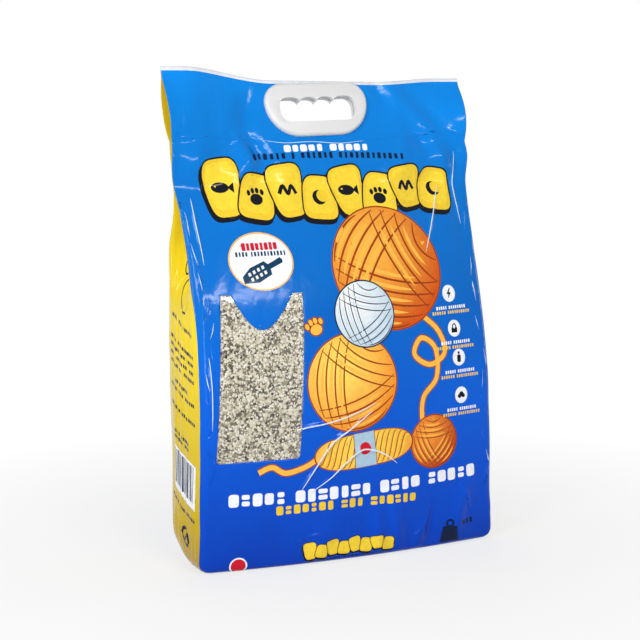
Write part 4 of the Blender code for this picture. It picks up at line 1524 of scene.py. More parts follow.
@dataclass(frozen=True)
class GussetPrint:
    """Small print on both yellow gussets: a paw, rows of marks, stripes in a pale box and a round sign."""

    rows: tuple[tuple[float, tuple[int, ...]], ...] = (
        (0.208, (6, 4, 8)), (0.19, (6, 4, 8)), (0.183, (9, 5, 5)), (0.176, (4, 10, 3)),
        (0.169, (8, 3, 7)), (0.156, (5, 9)), (0.149, (7, 4, 6)), (0.133, (10, 3, 6)), (0.112, (4, 5)),
        (0.107, (6, 3)), (0.05, (8, 6, 7)),
    )
    slant: float = 0.2
    near: float = 0.041
    far: float = 0.036

    def lay(self, sheet: PrintSheet, ink: Ink, hand: int, outline: Outline) -> None:
        """Lays a field on one gusset.

        Args:
            sheet: the print.
            ink: its ink.
            hand: -1 for the left gusset, 1 for the right one.
            outline: distances from the valley towards the front, and heights.
        """
        valley = sheet.web.valley
        sheet.lay_on_web(ink, [(hand * (valley - s), z - self.slant * (s - 0.012)) for s, z in outline])

    def print_on(self, sheet: PrintSheet) -> None:
        """Lays both gussets' print, mirror-wise."""
        for hand in (-1, 1):
            for z, runs in self.rows:
                near, far = (self.near, -self.far) if len(runs) > 2 else (0.026, -0.02)
                self.row(sheet, hand, z, far, near, runs)
            self.paw(sheet, hand, 0.004)
            self.stripes(sheet, hand, 0.008)

    def row(self, sheet: PrintSheet, hand: int, z: float, start: float, end: float,
            runs: tuple[int, ...]) -> None:
        """Lays a row of marks on one gusset.

        Args:
            sheet: the print.
            hand: -1 for the left gusset, 1 for the right one.
            z: the row's height.
            start: where it starts, from the valley.
            end: where it ends.
            runs: how many marks each run has.
        """
        pitch = (end - start) / (sum(runs) + len(runs) - 1)
        place, number = start, 0
        for run in runs:
            for _ in range(run):
                wide = pitch * (0.84, 0.62, 0.78)[number % 3]
                self.lay(sheet, Ink.DUSK, hand, box(place, z - 0.0015, place + wide, z + 0.0015))
                place += pitch
                number += 1
            place += pitch

    def paw(self, sheet: PrintSheet, hand: int, s: float) -> None:
        """Lays an outlined paw.

        Args:
            sheet: the print.
            hand: -1 for the left gusset, 1 for the right one.
            s: its middle, from the valley.
        """
        for shrink, ink in ((0.0, Ink.DUSK), (0.0017, Ink.YELLOW)):
            self.lay(sheet, ink, hand, oval(s, 0.233, 0.0215 - shrink, 0.015 - shrink, 30))
            for i in range(4):
                lift = 0.262 - 0.0046 * abs(i - 1.5) ** 1.4
                toe = oval(s + (i - 1.5) * 0.015, lift, 0.0064 - shrink, 0.0088 - shrink, 20)
                self.lay(sheet, ink, hand, toe)

    def stripes(self, sheet: PrintSheet, hand: int, s: float) -> None:
        """Lays the box of stripes and the round sign.

        Args:
            sheet: the print.
            hand: -1 for the left gusset, 1 for the right one.
            s: its middle, from the valley.
        """
        half, low, high = 0.034, 0.06, 0.098
        self.lay(sheet, Ink.WHITE, hand, box(s - half, low, s + half, high))
        left = s - half + 0.003
        number = 0
        while left < s + half - 0.005:
            width = (0.0013, 0.0024, 0.001, 0.0018, 0.003)[number % 5]
            self.lay(sheet, Ink.DUSK, hand, box(left, low + 0.005, left + width, high - 0.002))
            left += width + (0.0013, 0.0009, 0.0019)[number % 3]
            number += 1
        self.lay(sheet, Ink.DUSK, hand, oval(s + 0.004, 0.028, 0.0095, 0.009, 26))
        self.lay(sheet, Ink.YELLOW, hand, oval(s + 0.004, 0.028, 0.0064, 0.006, 22))
        self.lay(sheet, Ink.DUSK, hand, rounded_bar(s + 0.004, 0.028, 0.012, 0.0028, 45))


@dataclass(frozen=True)
class LitterWindow:
    """Outline of the clear field: two peaks with a hollow between them, its sides leaning to the right."""

    left: float = -0.1285
    width: float = 0.0735
    bottom: float = 0.096
    height: float = 0.141
    dip: float = 0.03
    peak: float = 0.009
    lean: float = math.radians(4.5)

    def outline(self, margin: float = 0.0) -> Outline:
        """The field's outline.

        Args:
            margin: how far it is grown.

        Returns:
            Its corners in (x, z).
        """
        left, right = self.left - margin, self.left + self.width + margin
        bottom, top = self.bottom - margin, self.bottom + self.height + margin
        corner = 0.003
        near = 0.3 * corner
        points = [(left, bottom + corner), (left + near, bottom + near), (left + corner, bottom),
                  (right - corner, bottom), (right - near, bottom + near), (right, bottom + corner), (right, top)]
        hollow_right = self.left + self.width - self.peak - margin
        hollow_left = self.left + self.peak + margin
        for share in (i / 16 for i in range(17)):
            points.append((mix(hollow_right, hollow_left, share), top - self.dip * math.sin(math.pi * share)))
        points.append((left, top))
        return [(x + (z - bottom) * math.tan(self.lean), z) for x, z in points]


# Meshes

def add_object(name: str, data: bpy.types.ID) -> Piece:
    """An object of a mesh, curve, lamp or camera in the scene's collection.

    Args:
        name: its name.
        data: what it shows.

    Returns:
        The object.
    """
    piece = bpy.data.objects.new(name, data)
    bpy.context.scene.collection.objects.link(piece)
    return piece


def settled_mesh(piece: Piece) -> bpy.types.Mesh:
    """The mesh that an object has after its modifiers."""
    bpy.context.view_layer.update()
    return bpy.data.meshes.new_from_object(piece.evaluated_get(bpy.context.evaluated_depsgraph_get()))


def new_piece(name: str, vertices: list[Vector], faces: list[tuple[int, ...]]) -> Piece:
    """A mesh object in the scene's collection.

    Args:
        name: its name.
        vertices: its vertices.
        faces: its faces.

    Returns:
        The object.
    """
    mesh = bpy.data.meshes.new(name)
    mesh.from_pydata([tuple(v) for v in vertices], [], faces)
    mesh.validate()
    mesh.update()
    return add_object(name, mesh)


def split(runs: list[tuple[float, float, int]]) -> list[float]:
    """Places from the first run's start to the last one's end, each run cut into its own number of steps."""
    return [mix(start, end, i / count) for start, end, count in runs for i in range(count)] + [runs[-1][1]]


def inside(outline: Outline, points: np.ndarray) -> np.ndarray:
    """Which points lie inside a closed outline.

    Args:
        outline: the outline's corners.
        points: one row of two numbers for each point.

    Returns:
        An array of booleans.
    """
    shape = np.array(outline)
    low, high = shape.min(axis=0), shape.max(axis=0)
    near = np.where(np.all((points >= low) & (points <= high), axis=1))[0]
    result = np.zeros(len(points), dtype=bool)
    if not len(near):
        return result
    x, y = points[near, 0], points[near, 1]
    turns = np.zeros(len(near), dtype=int)
    for (x1, y1), (x2, y2) in zip(shape, np.roll(shape, -1, axis=0)):
        if y1 == y2:
            continue
        beside = x < (x2 - x1) * (y - y1) / (y2 - y1) + x1
        turns += beside & (y1 <= y) & (y2 > y)
        turns -= beside & (y2 <= y) & (y1 > y)
    result[near] = turns != 0
    return result


@dataclass(frozen=True)
class PrintedFilm:
    """The film bag: the web folded round the filled form, with its print, its window and the cut-outs."""

    web: FilmWeb
    window: LitterWindow = LitterWindow()
    front_step: float = 0.0021
    back_step: float = 0.0064
    row_step: float = 0.0021
    white_edge: float = 0.0028
    edge_seed: int = 5
    # narrowest painted highlight that is laid along a crease's crest
    least_painted_glint: float = 0.0002
    litter_room: float = 0.0003
    foot_room: float = 0.0009
    slot_room: float = 0.001
    broad_wave: float = 0.0006
    fine_wave: float = 0.00024
    gusset_wave: float = 0.0012
    seal_pucker: float = 0.0016
    edge_pucker: float = 0.0008
    foot_pucker: float = 0.0014
    billow: float = 0.0016

    def columns(self) -> list[float]:
        """Places round the web of the mesh's columns."""
        web = self.web
        edge_end = web.panel_half + web.edge
        right_back = 2 * web.valley - web.panel_half
        runs = [
            (web.start, web.start + web.edge, 4), (web.start + web.edge, -web.valley, 16),
            (-web.valley, -edge_end, 20), (-edge_end, -web.panel_half, 8),
            (-web.panel_half, web.panel_half, round(2 * web.panel_half / self.front_step)),
            (web.panel_half, edge_end, 8), (edge_end, web.valley, 16),
            (web.valley, right_back - web.edge, 16), (right_back - web.edge, right_back, 4),
            (right_back, right_back + 2 * web.panel_half, round(2 * web.panel_half / self.back_step)),
        ]
        return split(runs)

    def rows(self) -> list[float]:
        """Web heights of the mesh's rows."""
        web, seal = self.web, self.web.sizes.seal_height
        edge_start = web.top - self.white_edge
        runs = [
            (-web.foot, 0.0, 7), (0.0, 0.006, 4), (0.006, 0.28, round(0.274 / self.row_step)),
            (0.28, seal, round((seal - 0.28) / self.row_step * 1.15)),
            (seal, edge_start, round((edge_start - seal) / self.row_step * 1.1)), (edge_start, web.top, 2),
        ]
        return split(runs)

    def slot_outline(self, back: bool) -> Outline:
        """The finger slot's cut-out in one layer of the header, in web places.

        Args:
            back: whether it is the back layer.

        Returns:
            The outline.
        """
        handle = CarryHandle(self.web)
        places = []
        for x, z in handle.slot_outline(self.slot_room):
            point = handle.on_header(x, z)
            w, v = self.web.on_front(point.x, point.z)
            places.append((2 * self.web.valley - w if back else w, v))
        return places

    def lay_out(self, sheet: PrintSheet) -> tuple[list[Vector], list[tuple[int, ...]]]:
        """Triangulates the web along its grid and all print outlines.

        Args:
            sheet: the print.

        Returns:
            Web places and triangles.
        """
        columns, rows = self.columns(), self.rows()
        points = [Vector((w, v)) for v in rows for w in columns]
        pinched = [v for v in rows if SHARED_FROM < v < self.web.top - self.white_edge]
        edges: list[tuple[int, int]] = []
        wide = len(columns)
        gaps = [(a, b) for a, b in zip(columns, columns[1:]) if b - a > 0.5 * self.back_step]
        between = [Vector((mix(a, b, share), v)) for v in pinched for a, b in gaps for share in (1 / 3, 2 / 3)]
        for row in range(len(rows) - 1):
            for end in (0, wide - 1):
                edges.append((row * wide + end, (row + 1) * wide + end))
        for row in (0, rows.index(self.web.top - self.white_edge), len(rows) - 1):
            edges += [(row * wide + w, row * wide + w + 1) for w in range(wide - 1)]
        for _, outline in sheet.fields:
            first = len(points)
            points += [Vector(place) for place in outline]
            count = len(outline)
            edges += [(first + i, first + (i + 1) % count) for i in range(count)]
        for crease in self.creases():
            for rail in crease.rails():
                first = len(points)
                points += [Vector(place) for place in rail]
                edges += [(first + i, first + i + 1) for i in range(len(rail) - 1)]
        flat, _, faces, _, _, _ = delaunay_2d_cdt(points + between, edges, [], 0, 1e-6)
        return flat, [tuple(face) for face in faces]

    def ground(self, w: np.ndarray, v: np.ndarray) -> np.ndarray:
        """Ink of the unprinted web at each place: blue panels, yellow gussets and a pale top edge.

        Args:
            w: web distances.
            v: web heights.

        Returns:
            Numbers of the inks.
        """
        web = self.web
        away = np.minimum(np.abs(w), np.abs(w - 2 * web.valley))
        ink = np.where(away > web.panel_half + web.edge * 0.72, Ink.YELLOW.value, Ink.BLUE.value)
        return np.where(v > web.top - self.white_edge, Ink.EDGE.value, ink)

    @lru_cache(maxsize=1)
    def creases(self) -> tuple[Crease, ...]:
        """The sharp ridges: at the lower seal, across the front's foot, by the edges and down both gussets."""
        creases = [Crease(self.front_line(points), height, blunt, scuff)
                   for height, blunt, scuff, points in FRONT_RIDGES]
        left = [Crease(self.gusset_line(points), height) for height, points in GUSSET_RIDGES]
        right = [Crease(tuple((-w, v) for w, v in crease.line), crease.height) for crease in left]
        return tuple(creases + left + right + self.edge_creases())

    def edge_creases(self) -> list[Crease]:
        """Short upright ridges one above the other along both front edges."""
        web = self.web
        rng = np.random.default_rng(self.edge_seed)
        creases = []
        for hand in (-1, 1):
            for v in np.arange(0.03, 0.31, 0.021):
                middle = hand * (web.panel_half + web.edge * rng.uniform(-0.5, 0.35))
                tilt, reach = rng.uniform(-0.003, 0.003), rng.uniform(0.006, 0.013)
                start = v + rng.uniform(-0.005, 0.005)
                line = ((middle - tilt, start), (middle, start + reach), (middle + tilt / 2, start + 2 * reach))
                # the second number is the width of a painted highlight along the crest; at or below the least width
                # none is laid
                height, scuff = float(rng.uniform(0.0005, 0.001)), float(rng.uniform(-0.0004, 0.0007))
                creases.append(Crease(line, height, 0.5, scuff))
        return creases

    def front_line(self, places: Outline) -> tuple[Point2, ...]:
        """A smooth web line through points of the front panel in millimetres."""
        return tuple(smooth_line([self.web.on_front(*mm(*place)) for place in places], 5))

    def gusset_line(self, places: Outline) -> tuple[Point2, ...]:
        """A smooth web line on the left gusset, from distances to its valley and heights in millimetres."""
        return tuple(smooth_line(shifted([mm(*place) for place in places], -self.web.valley, 0.0), 5))

    def wrinkle(self, w: float, v: float, point: Vector) -> float:
        """How far fine wrinkles lift the film: never into the litter, and only outwards where layers meet.

        Args:
            w: web distance.
            v: web height.
            point: the place on the smooth bag.

        Returns:
            The lift there.
        """
        if v <= 0.004:
            return 0.0
        web = self.web
        seal = web.sizes.seal_height
        away = abs(2 * web.valley - w) if w > web.valley else abs(w)
        on_gusset = web.panel_half + web.edge < away < 2 * web.valley - web.panel_half - web.edge
        on_back = w > web.valley or w < -web.valley
        height = sum(crease.rise(w, v) for crease in self.creases())
        if v < seal - 0.004:
            if not on_gusset and not on_back:
                height -= sum(fold.push(point.x, v) for fold in FOOT_RIDGES)
            height += ease(0.004, 0.03, v) * self.body_wrinkle(w, v, point, away, on_gusset)
            if not on_gusset:
                height += self.border_wrinkle(v, point.x, away, on_back)
        if v > seal - 0.006 and not on_gusset:
            height += self.header_billow(v, point.x, on_back)
        if on_gusset:
            height *= 1 - ease(0.7, 0.82, v / seal)
        return max(height, -self.litter_room if v < 0.31 else 0.0)

    def body_wrinkle(self, w: float, v: float, point: Vector, away: float, on_gusset: bool) -> float:
        """Unevenness all over the filled body, with upright crumples on the gussets.

        Args:
            w: web distance.
            v: web height.
            point: the place on the smooth bag.
            away: web distance from the middle of the nearer panel.
            on_gusset: whether the place lies on a gusset.

        Returns:
            The lift there.
        """
        height = self.broad_wave * noise.noise(Vector((point.x * 24, point.y * 26, v * 19)))
        height += self.fine_wave * noise.noise(Vector((point.x * 70, point.y * 60, v * 40)))
        if on_gusset:
            height += self.gusset_wave * noise.noise(Vector((away * 110, w * 3, v * 13)))
            height += self.gusset_wave * abs(noise.noise(Vector((away * 60, 4.0, v * 26 + away * 40))))
        return height

    def border_wrinkle(self, v: float, x: float, away: float, on_back: bool) -> float:
        """Crumples of a panel under the seal, beside its edges and above its foot.

        Args:
            v: web height.
            x: place across the panel.
            away: web distance from the panel's middle.
            on_back: whether it is the back panel.

        Returns:
            The lift there.
        """
        web = self.web
        by_seal = math.exp(-(((v - web.sizes.seal_height + 0.02) / 0.015) ** 2))
        by_edge = math.exp(-(((away - web.panel_half + 0.002) / 0.012) ** 2))
        by_foot = math.exp(-(((v - 0.02) / 0.018) ** 2))
        return (self.seal_pucker * by_seal * noise.noise(Vector((x * 70, 7.0 if on_back else 2.0, v * 12)))
                + self.edge_pucker * by_edge * noise.noise(Vector((x * 90, 3.0, v * 24)))
                + self.foot_pucker * by_foot * noise.noise(Vector((x * 38 + v * 30, 5.0, v * 30))))

    def header_billow(self, v: float, x: float, on_back: bool) -> float:
        """How far a header layer stands off, between the seal, the top edge and the handle.

        Args:
            v: web height.
            x: place across the header.
            on_back: whether it is the back layer.

        Returns:
            The lift there.
        """
        web, seal = self.web, self.web.sizes.seal_height
        free = ease(seal, seal + 0.01, v) * (1 - ease(web.top - 0.012, web.top, v))
        clear = ease(0.05, 0.066, abs(x - web.sizes.handle_offset))
        return self.billow * free * clear * abs(noise.noise(Vector((x * 19, 4.0 if on_back else 1.0, v * 13))))

    def foot_clear(self, normal: Vector, v: float) -> Vector:
        """Shift that takes the film sideways round its foot, clear of the litter's lower corner."""
        share = ease(-0.01, 0.0, v) * (1 - ease(0.01, 0.04, v))
        return Vector((normal.x, normal.y, 0.0)) * self.foot_room * share

    def build(self, sheet: PrintSheet) -> tuple[Piece, Piece]:
        """Makes the printed film and the clear pane from the web.

        Args:
            sheet: the print.

        Returns:
            The film and the pane.
        """
        # painted highlight: pale ribbons along the crests of the creases, standing in for their glints
        for crease in self.creases():
            if crease.scuff > self.least_painted_glint:
                sheet.lay_on_web(Ink.SCUFF, ribbon(list(crease.line), crease.scuff, 0.8))
        sheet.lay(Ink.CLEAR, self.window.outline())
        sheet.lay_on_web(Ink.HOLE, self.slot_outline(False))
        sheet.lay_on_web(Ink.HOLE, self.slot_outline(True))
        flat, faces = self.lay_out(sheet)
        LOG.info("film web: %d places, %d triangles", len(flat), len(faces))
        places = np.array([tuple(p) for p in flat])
        corners = np.array(faces)
        centres = places[corners].mean(axis=1)
        inks = self.ground(centres[:, 0], centres[:, 1])
        for ink, outline in sorted(sheet.fields, key=lambda laid: laid[0] in (Ink.CLEAR, Ink.HOLE)):
            inks[inside(outline, centres)] = ink.value
        points = [self.web.place(float(w), float(v)) for w, v in places]
        whole = new_piece("film_draft", points, faces)
        normals = [Vector(v.normal) for v in whole.data.vertices]
        moved = [p + n * self.wrinkle(float(w), float(v), p) + self.foot_clear(n, float(v))
                 for p, n, (w, v) in zip(points, normals, places)]
        bpy.data.objects.remove(whole)
        printed = (inks != Ink.CLEAR.value) & (inks != Ink.HOLE.value)
        film = self.part("printed_film", moved, corners, inks, printed)
        pane = self.part("window_pane", moved, corners, inks * 0, inks == Ink.CLEAR.value)
        return film, pane

    def part(self, name: str, points: list[Vector], corners: np.ndarray, inks: np.ndarray,
             chosen: np.ndarray) -> Piece:
        """A sheet of film from the chosen triangles, with a rim as thick as the film.

        Args:
            name: the piece's name.
            points: all vertices.
            corners: all triangles.
            inks: material slot of each triangle.
            chosen: which triangles belong to the sheet.

        Returns:
            The piece.
        """
        piece = new_piece(name, points, [tuple(int(i) for i in face) for face in corners[chosen]])
        for polygon, ink in zip(piece.data.polygons, inks[chosen]):
            polygon.material_index = int(ink)
        shape = bmesh.new()
        shape.from_mesh(piece.data)
        bmesh.ops.remove_doubles(shape, verts=shape.verts, dist=2e-6)
        bmesh.ops.delete(shape, geom=[v for v in shape.verts if not v.link_faces], context="VERTS")
        shape.to_mesh(piece.data)
        shape.free()
        wall = piece.modifiers.new("film wall", "SOLIDIFY")
        wall.thickness = self.web.sizes.film * 0.6
        wall.offset = -1
        wall.use_rim_only = name == "printed_film"
        piece.data.shade_smooth()
        return piece


@dataclass(frozen=True)
class CarryHandle:
    """The two halves of the carry handle, which clamp the header between them."""

    web: FilmWeb
    fingers: int = 4
    finger_pitch: float = 0.0163
    finger_depth: float = 0.0042
    slot_end: float = 0.0044
    slot_height: float = 0.0226
    end_radius: float = 0.008
    foot_radius: float = 0.0095
    top_bar: float = 0.0138
    lower_bar: float = 0.0128
    side_bar: float = 0.013
    thickness: float = 0.01
    shoulder: float = 0.018
    round_edge: float = 0.0035
    slot_round: float = 0.0016
    skew: float = math.radians(2.3)
    clearance: float = 0.0003
    curve_steps: int = 18
    finger_steps: int = 12

    @property
    def slot_width(self) -> float:
        """Length of the finger slot."""
        return self.fingers * self.finger_pitch + 2 * self.slot_end

    @property
    def width(self) -> float:
        """Length of the grip."""
        return self.slot_width + 2 * self.side_bar

    @property
    def height(self) -> float:
        """Height of the grip in its own plane."""
        return self.lower_bar + self.slot_height + self.top_bar

    def frame(self) -> Matrix:
        """Place and tilt of the handle's middle plane."""
        sizes = self.web.sizes
        height = sizes.seal_height + sizes.handle_to_seal + sizes.handle_rise / 2
        depth = sizes.seal_setback + (height - sizes.seal_height) * math.tan(sizes.lean)
        turn = Euler((-sizes.lean, 0, 0)).to_matrix() @ Euler((0, -self.skew, 0)).to_matrix()
        return Matrix.Translation((sizes.handle_offset, depth, height)) @ turn.to_4x4()

    def on_header(self, x: float, z: float) -> Vector:
        """World place of a point of the handle's middle plane."""
        return self.frame() @ Vector((x, 0, z))

    def arc(self, x: float, z: float, radius: float, start: float, end: float, steps: int) -> Outline:
        """Points of an arc about (x, z), from start to end in degrees."""
        angles = [math.radians(mix(start, end, i / steps)) for i in range(steps + 1)]
        return [(x + radius * math.cos(angle), z + radius * math.sin(angle)) for angle in angles]

    def grip_outline(self) -> Outline:
        """Outer outline: round shoulders above and deeper curves below."""
        half, top = self.width / 2, self.height / 2
        shoulder_z = top - self.shoulder
        jaw = self.height - self.shoulder
        points = self.arc(half - self.shoulder, shoulder_z, self.shoulder, 0, 90, self.curve_steps)
        points += self.arc(self.shoulder - half, shoulder_z, self.shoulder, 90, 180, self.curve_steps)
        points += self.arc(jaw - half, shoulder_z, jaw, 180, 270, self.curve_steps)[1:]
        points += self.arc(half - jaw, shoulder_z, jaw, 270, 360, self.curve_steps)[:-1]
        return points

    def slot_outline(self, margin: float = 0.0) -> Outline:
        """Finger slot: finger arches along the top, round ends and a straight lower edge.

        Args:
            margin: how far it is grown.

        Returns:
            The outline.
        """
        half, steps = self.slot_width / 2, self.finger_steps
        slot_top = self.height / 2 - self.top_bar
        slot_bottom = self.lower_bar - self.height / 2
        points = []
        for finger in range(self.fingers):
            start = (finger - self.fingers / 2) * self.finger_pitch
            for i in range(steps):
                if finger == 0 and i < steps // 2 or finger == self.fingers - 1 and i > steps // 2:
                    continue
                angle = math.pi * i / steps
                x = start + self.finger_pitch / 2 * (1 - math.cos(angle))
                points.append((x, slot_top - self.finger_depth * (1 - math.sin(angle)) + margin))
        end_x, foot_x = half - self.end_radius, half - self.foot_radius
        end_z, foot_z = slot_top - self.end_radius, slot_bottom + self.foot_radius
        points += self.arc(end_x, end_z, self.end_radius + margin, 90, 0, 8)
        points += self.arc(foot_x, foot_z, self.foot_radius + margin, 0, -90, 8)
        points += self.arc(-foot_x, foot_z, self.foot_radius + margin, -90, -180, 8)
        points += self.arc(-end_x, end_z, self.end_radius + margin, 180, 90, 8)
        return points

    def slab(self, name: str, outline: Outline, half_depth: float, round_edge: float) -> Piece:
        """A slab about the handle's middle plane.

        Args:
            name: its name.
            outline: its outline.
            half_depth: half its thickness.
            round_edge: radius of its rims, 0 for sharp ones.

        Returns:
            The slab.
        """
        curve = bpy.data.curves.new(name, "CURVE")
        curve.dimensions = "2D"
        curve.fill_mode = "BOTH"
        curve.extrude = half_depth - round_edge
        curve.bevel_depth = round_edge
        curve.bevel_resolution = 5 if round_edge else 0
        curve.offset = -round_edge
        spline = curve.splines.new("POLY")
        spline.points.add(len(outline) - 1)
        for target, (x, z) in zip(spline.points, outline):
            target.co = (x, z, 0, 1)
        spline.use_cyclic_u = True
        drawn = add_object(name + "_outline", curve)
        mesh = settled_mesh(drawn)
        bpy.data.objects.remove(drawn)
        shape = bmesh.new()
        shape.from_mesh(mesh)
        bmesh.ops.remove_doubles(shape, verts=shape.verts, dist=1e-6)
        bmesh.ops.transform(shape, matrix=Matrix.Rotation(math.pi / 2, 4, "X"), verts=shape.verts)
        bmesh.ops.recalc_face_normals(shape, faces=shape.faces)
        shape.to_mesh(mesh)
        shape.free()
        return add_object(name, mesh)

    def cut(self, piece: Piece, tool: Piece, operation: str) -> None:
        """Cuts a piece with a tool, by a Boolean of that operation."""
        cut = piece.modifiers.new(tool.name, "BOOLEAN")
        cut.operation, cut.object, cut.solver = operation, tool, "EXACT"

    def half(self, name: str, side: int) -> Piece:
        """One half of the handle.

        Args:
            name: the piece's name.
            side: -1 for the front, 1 for the back.

        Returns:
            The piece, in place on the header.
        """
        piece = self.slab(name, self.grip_outline(), self.thickness / 2, self.round_edge)
        slot = self.slab(name + "_slot", self.slot_outline(), self.thickness, 0.0)
        bpy.ops.mesh.primitive_cube_add(size=1)
        space = bpy.context.object
        reach = 2 * self.width
        near = self.web.sizes.stack_half + self.clearance
        space.data.transform(Matrix.Translation((0, side * (near + reach / 2), 0)) @ Matrix.Scale(reach, 4))
        self.cut(piece, slot, "DIFFERENCE")
        rims = piece.modifiers.new("slot rims", "BEVEL")
        rims.width = self.slot_round
        rims.segments = 4
        rims.limit_method = "ANGLE"
        rims.angle_limit = math.radians(65)
        self.cut(piece, space, "INTERSECT")
        mesh = settled_mesh(piece)
        mesh.transform(self.frame())
        for helper in (slot, space):
            bpy.data.objects.remove(helper)
        piece.modifiers.clear()
        piece.data = mesh
        mesh.name = name
        mesh.shade_smooth()
        mesh.set_sharp_from_angle(angle=math.radians(50))
        return piece


@dataclass(frozen=True)
class Granules:
    """Loose clay granules that lie against the window."""

    web: FilmWeb
    window: LitterWindow = LitterWindow()
    pitch: float = 0.00195
    size: float = 0.00128
    behind: float = 0.0017
    spill: float = 0.004
    shades: int = 5
    seed: int = 11

    def build(self) -> Piece:
        """Scatters crumbs of clay just behind the pane, in a jittered packing."""
        rng = np.random.default_rng(self.seed)
        outline = self.window.outline(self.spill)
        xs, zs = zip(*outline)
        grid = [(x, z) for z in np.arange(min(zs), max(zs), self.pitch * 0.87)
                for x in np.arange(min(xs), max(xs), self.pitch)]
        grid = np.array(grid) + rng.uniform(-0.4, 0.4, (len(grid), 2)) * self.pitch
        grid = grid[inside(outline, grid)]
        ball = bmesh.new()
        bmesh.ops.create_icosphere(ball, subdivisions=1, radius=1.0)
        base = np.array([tuple(v.co) for v in ball.verts])
        sides = [tuple(v.index for v in f.verts) for f in ball.faces]
        ball.free()
        points, faces, shade = [], [], []
        for x, z in grid:
            w, v = self.web.on_front(float(x), float(z))
            middle = self.web.place(w, v)
            middle.y += self.behind + rng.uniform(-0.2, 0.9) * self.size
            scale = self.size * rng.uniform(0.6, 1.2) * rng.uniform(0.75, 1.2, 3)
            turn = np.array(Euler(rng.uniform(0, 6.28, 3)).to_matrix())
            crumb = (base * rng.uniform(0.78, 1.15, (len(base), 1)) * scale) @ turn.T + np.array(middle)
            first = len(points)
            points.extend(Vector(p) for p in crumb)
            faces.extend(tuple(first + i for i in side) for side in sides)
            shade.extend([int(rng.choice(self.shades, p=(0.55, 0.24, 0.08, 0.06, 0.07)))] * len(sides))
        piece = new_piece("window_granules", points, faces)
        for polygon, value in zip(piece.data.polygons, shade):
            polygon.material_index = value
        LOG.info("granules: %d crumbs, %d triangles", len(grid), len(faces))
        return piece


# Studio

def background_rays(tree: bpy.types.NodeTree) -> Socket:
    """1 for the rays that show the background, which are those from the camera, gloss and glass.

    Args:
        tree: the nodes of a material or the world.

    Returns:
        The share.
    """
    path = tree.nodes.new("ShaderNodeLightPath")
    seen = path.outputs["Is Camera Ray"]
    for ray in ("Is Glossy Ray", "Is Transmission Ray"):
        either = tree.nodes.new("ShaderNodeMath")
        either.operation = "MAXIMUM"
        tree.links.new(seen, either.inputs[0])
        tree.links.new(path.outputs[ray], either.inputs[1])
        seen = either.outputs[0]
    return seen


